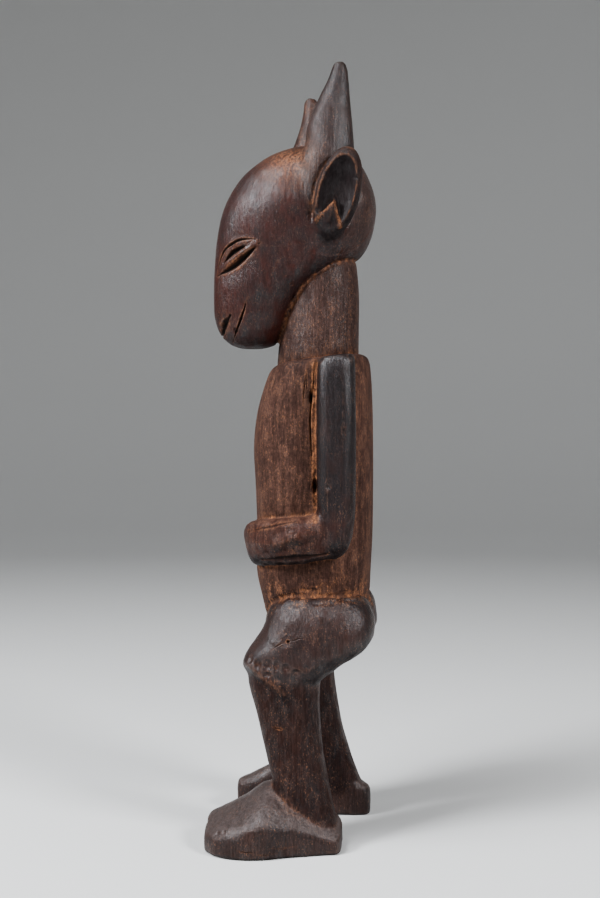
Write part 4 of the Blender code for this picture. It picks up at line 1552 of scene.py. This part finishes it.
def simplified(data, triangles):
    """The carved mesh with fewer triangles where it is flat."""
    whole = bpy.data.objects.new("whole", data)
    bpy.context.scene.collection.objects.link(whole)
    thin = whole.modifiers.new("thin", "DECIMATE")
    thin.ratio = min(triangles / sum(len(face.vertices) - 2 for face in data.polygons), 1.0)
    light = evaluated_mesh(whole)
    discard(whole)
    return light


def colour_setting(name, description, default):
    """A colour that the sidebar can change."""
    return bpy.props.FloatVectorProperty(
        name=name, description=description, default=default, subtype="COLOR", min=0, max=1
    )


def power_setting(name, description, default):
    """A light's power that the sidebar can change."""
    return bpy.props.FloatProperty(
        name=name, description=description, default=default, min=0.0, subtype="POWER"
    )


class CarvingSizes(bpy.types.PropertyGroup):
    """How the figure is carved."""

    triangles: bpy.props.IntProperty(
        name="Triangles",
        description="The most triangles in the carved figure",
        default=190000,
        min=20000,
        max=199000,
    )


class WoodColours(bpy.types.PropertyGroup):
    """Colours of the wood, its patina and its dust."""

    brown: colour_setting("Brown", "The wood's own brown", (0.043, 0.0175, 0.0115))
    red: colour_setting("Red", "The reddish wood of the face", (0.042, 0.0070, 0.0035))
    # The darkest patina, also painted as shade where the skin faces down, under the forearms and in the ear
    # hollows.
    deep: colour_setting("Deep", "The darkest patina", (0.010, 0.0060, 0.0066))
    dust: colour_setting("Dust", "Dry dust on the body", (0.118, 0.062, 0.044))
    orange: colour_setting("Orange", "Orange dust in the creases", (0.33, 0.145, 0.070))
    # Grey is also painted on the tops of the feet as a sheen of light.
    grey: colour_setting("Grey", "Greyed wood of the horns and feet", (0.070, 0.056, 0.053))
    worn: colour_setting("Worn", "Wood that shows at worn edges", (0.095, 0.064, 0.054))
    # Painted shade on the floors of cuts, scoops and cracks.
    crack_shade: colour_setting("Pit", "The floor of a crack", (0.006, 0.004, 0.003))


class StudioLight(bpy.types.PropertyGroup):
    """The studio's lights and floor."""

    key: power_setting("Key", "Power of the main light, from the left, in watts", 8.0)
    side: power_setting("Side", "Power of the light from the right, in watts", 6.5)
    top: power_setting("Top", "Power of the light from above, in watts", 6.5)
    world: bpy.props.FloatProperty(
        name="World", description="Strength of the light from all round", default=0.16, min=0.0
    )
    floor: colour_setting("Floor", "Colour of the floor", (0.72, 0.715, 0.70))


class CARVING_OT_figure(bpy.types.Operator):
    """Carve the antelope figure and finish its wood"""

    bl_idname = "carving.figure"
    bl_label = "Carve Figure"

    def execute(self, context):
        data = simplified(carve(), context.scene.carving_sizes.triangles)
        data.shade_smooth()
        data.materials.clear()
        data.materials.append(dark_wood(context.scene.wood_colours))
        figure = bpy.data.objects.new(FIGURE + "_carved", data)
        context.scene.collection.objects.link(figure)
        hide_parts(FIGURE)
        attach(figure, "root")
        return {"FINISHED"}


def curved_floor():
    """A flat floor that curves up into a round wall."""
    floor = bmesh.new()
    bmesh.ops.create_circle(floor, cap_ends=True, segments=FLOOR_SIDES, radius=FLOOR_CURVE[0][0])
    edge = list(floor.edges)
    for radius, height in FLOOR_CURVE[1:]:
        raised = bmesh.ops.extrude_edge_only(floor, edges=edge)["geom"]
        for vert in (part for part in raised if isinstance(part, bmesh.types.BMVert)):
            vert.co = (*(vert.co.to_2d().normalized() * radius), height)
        edge = [part for part in raised if isinstance(part, bmesh.types.BMEdge)]
    bmesh.ops.recalc_face_normals(floor, faces=floor.faces)
    if sum(face.normal.z for face in floor.faces) < 0:
        bmesh.ops.reverse_faces(floor, faces=floor.faces)
    data = bpy.data.meshes.new("floor")
    floor.to_mesh(data)
    floor.free()
    data.shade_smooth()
    return data


def soft_light(name, power, size, place, aim, colour):
    """A square soft light that looks at a place."""
    lamp = bpy.data.lights.new(name, "AREA")
    lamp.shape = "SQUARE"
    lamp.size = size
    lamp.energy = power
    lamp.color = colour
    light = bpy.data.objects.new(name, lamp)
    light.location = place
    light.rotation_euler = (aim - place).to_track_quat("-Z", "Y").to_euler()
    bpy.context.scene.collection.objects.link(light)


class CARVING_OT_studio(bpy.types.Operator):
    """Set the floor, the soft lights and the camera"""

    bl_idname = "carving.studio"
    bl_label = "Set Studio"

    def execute(self, context):
        settings = context.scene.studio_light
        centre = (frame_low + frame_high) / 2
        data = curved_floor()
        paper = bpy.data.materials.new("paper")
        paper.use_nodes = True
        shader = paper.node_tree.nodes["Principled BSDF"]
        shader.inputs["Base Color"].default_value = linear(settings.floor)
        shader.inputs["Roughness"].default_value = FLOOR_ROUGHNESS
        data.materials.append(paper)
        ground = bpy.data.objects.new("floor", data)
        context.scene.collection.objects.link(ground)
        for name, (way, size, colour) in LIGHTS.items():
            place = centre + Vector(way).normalized() * LIGHT_DISTANCE
            soft_light(name, getattr(settings, name), size, place, centre, colour)
        world = bpy.data.worlds.new("studio")
        world.use_nodes = True
        world.node_tree.nodes["Background"].inputs["Color"].default_value = WORLD_COLOUR
        world.node_tree.nodes["Background"].inputs["Strength"].default_value = settings.world
        context.scene.world = world
        context.scene.view_settings.look = VIEW_LOOK
        lens = bpy.data.cameras.new("camera")
        lens.lens = LENS
        lens.sensor_height = SENSOR
        lens.sensor_fit = "VERTICAL"
        lens.clip_start = CLIP_START
        camera = bpy.data.objects.new("camera", lens)
        back = Vector((math.sin(CAMERA_AZIMUTH), -math.cos(CAMERA_AZIMUTH), 0.0))
        camera.location = back * CAMERA_DISTANCE + CAMERA_AIM
        camera.rotation_euler = (-back).to_track_quat("-Z", "Y").to_euler()
        context.scene.collection.objects.link(camera)
        context.scene.camera = camera
        return {"FINISHED"}


class CARVING_PT_panel(bpy.types.Panel):
    """Carving, finish and studio in the 3D view's sidebar"""

    bl_idname = "CARVING_PT_panel"
    bl_label = "Carved Antelope Figure"
    bl_space_type = "VIEW_3D"
    bl_region_type = "UI"
    bl_category = "Carving"

    def draw(self, context):
        for settings in (context.scene.carving_sizes, context.scene.wood_colours, context.scene.studio_light):
            for name in settings.__annotations__:
                self.layout.prop(settings, name)
        for operator in OPERATORS:
            self.layout.operator(operator.bl_idname)


OPERATORS = (CARVING_OT_figure, CARVING_OT_studio)
SETTINGS = {"carving_sizes": CarvingSizes, "wood_colours": WoodColours, "studio_light": StudioLight}


def register():
    for settings in SETTINGS.values():
        bpy.utils.register_class(settings)
    for operator in OPERATORS:
        bpy.utils.register_class(operator)
    bpy.utils.register_class(CARVING_PT_panel)
    for name, settings in SETTINGS.items():
        setattr(bpy.types.Scene, name, bpy.props.PointerProperty(type=settings))


def unregister():
    for name in SETTINGS:
        delattr(bpy.types.Scene, name)
    bpy.utils.unregister_class(CARVING_PT_panel)
    for operator in reversed(OPERATORS):
        bpy.utils.unregister_class(operator)
    for settings in reversed(SETTINGS.values()):
        bpy.utils.unregister_class(settings)


def main():
    register()
    bpy.ops.carving.figure()
    bpy.ops.carving.studio()


if __name__ == "__main__":
    main()
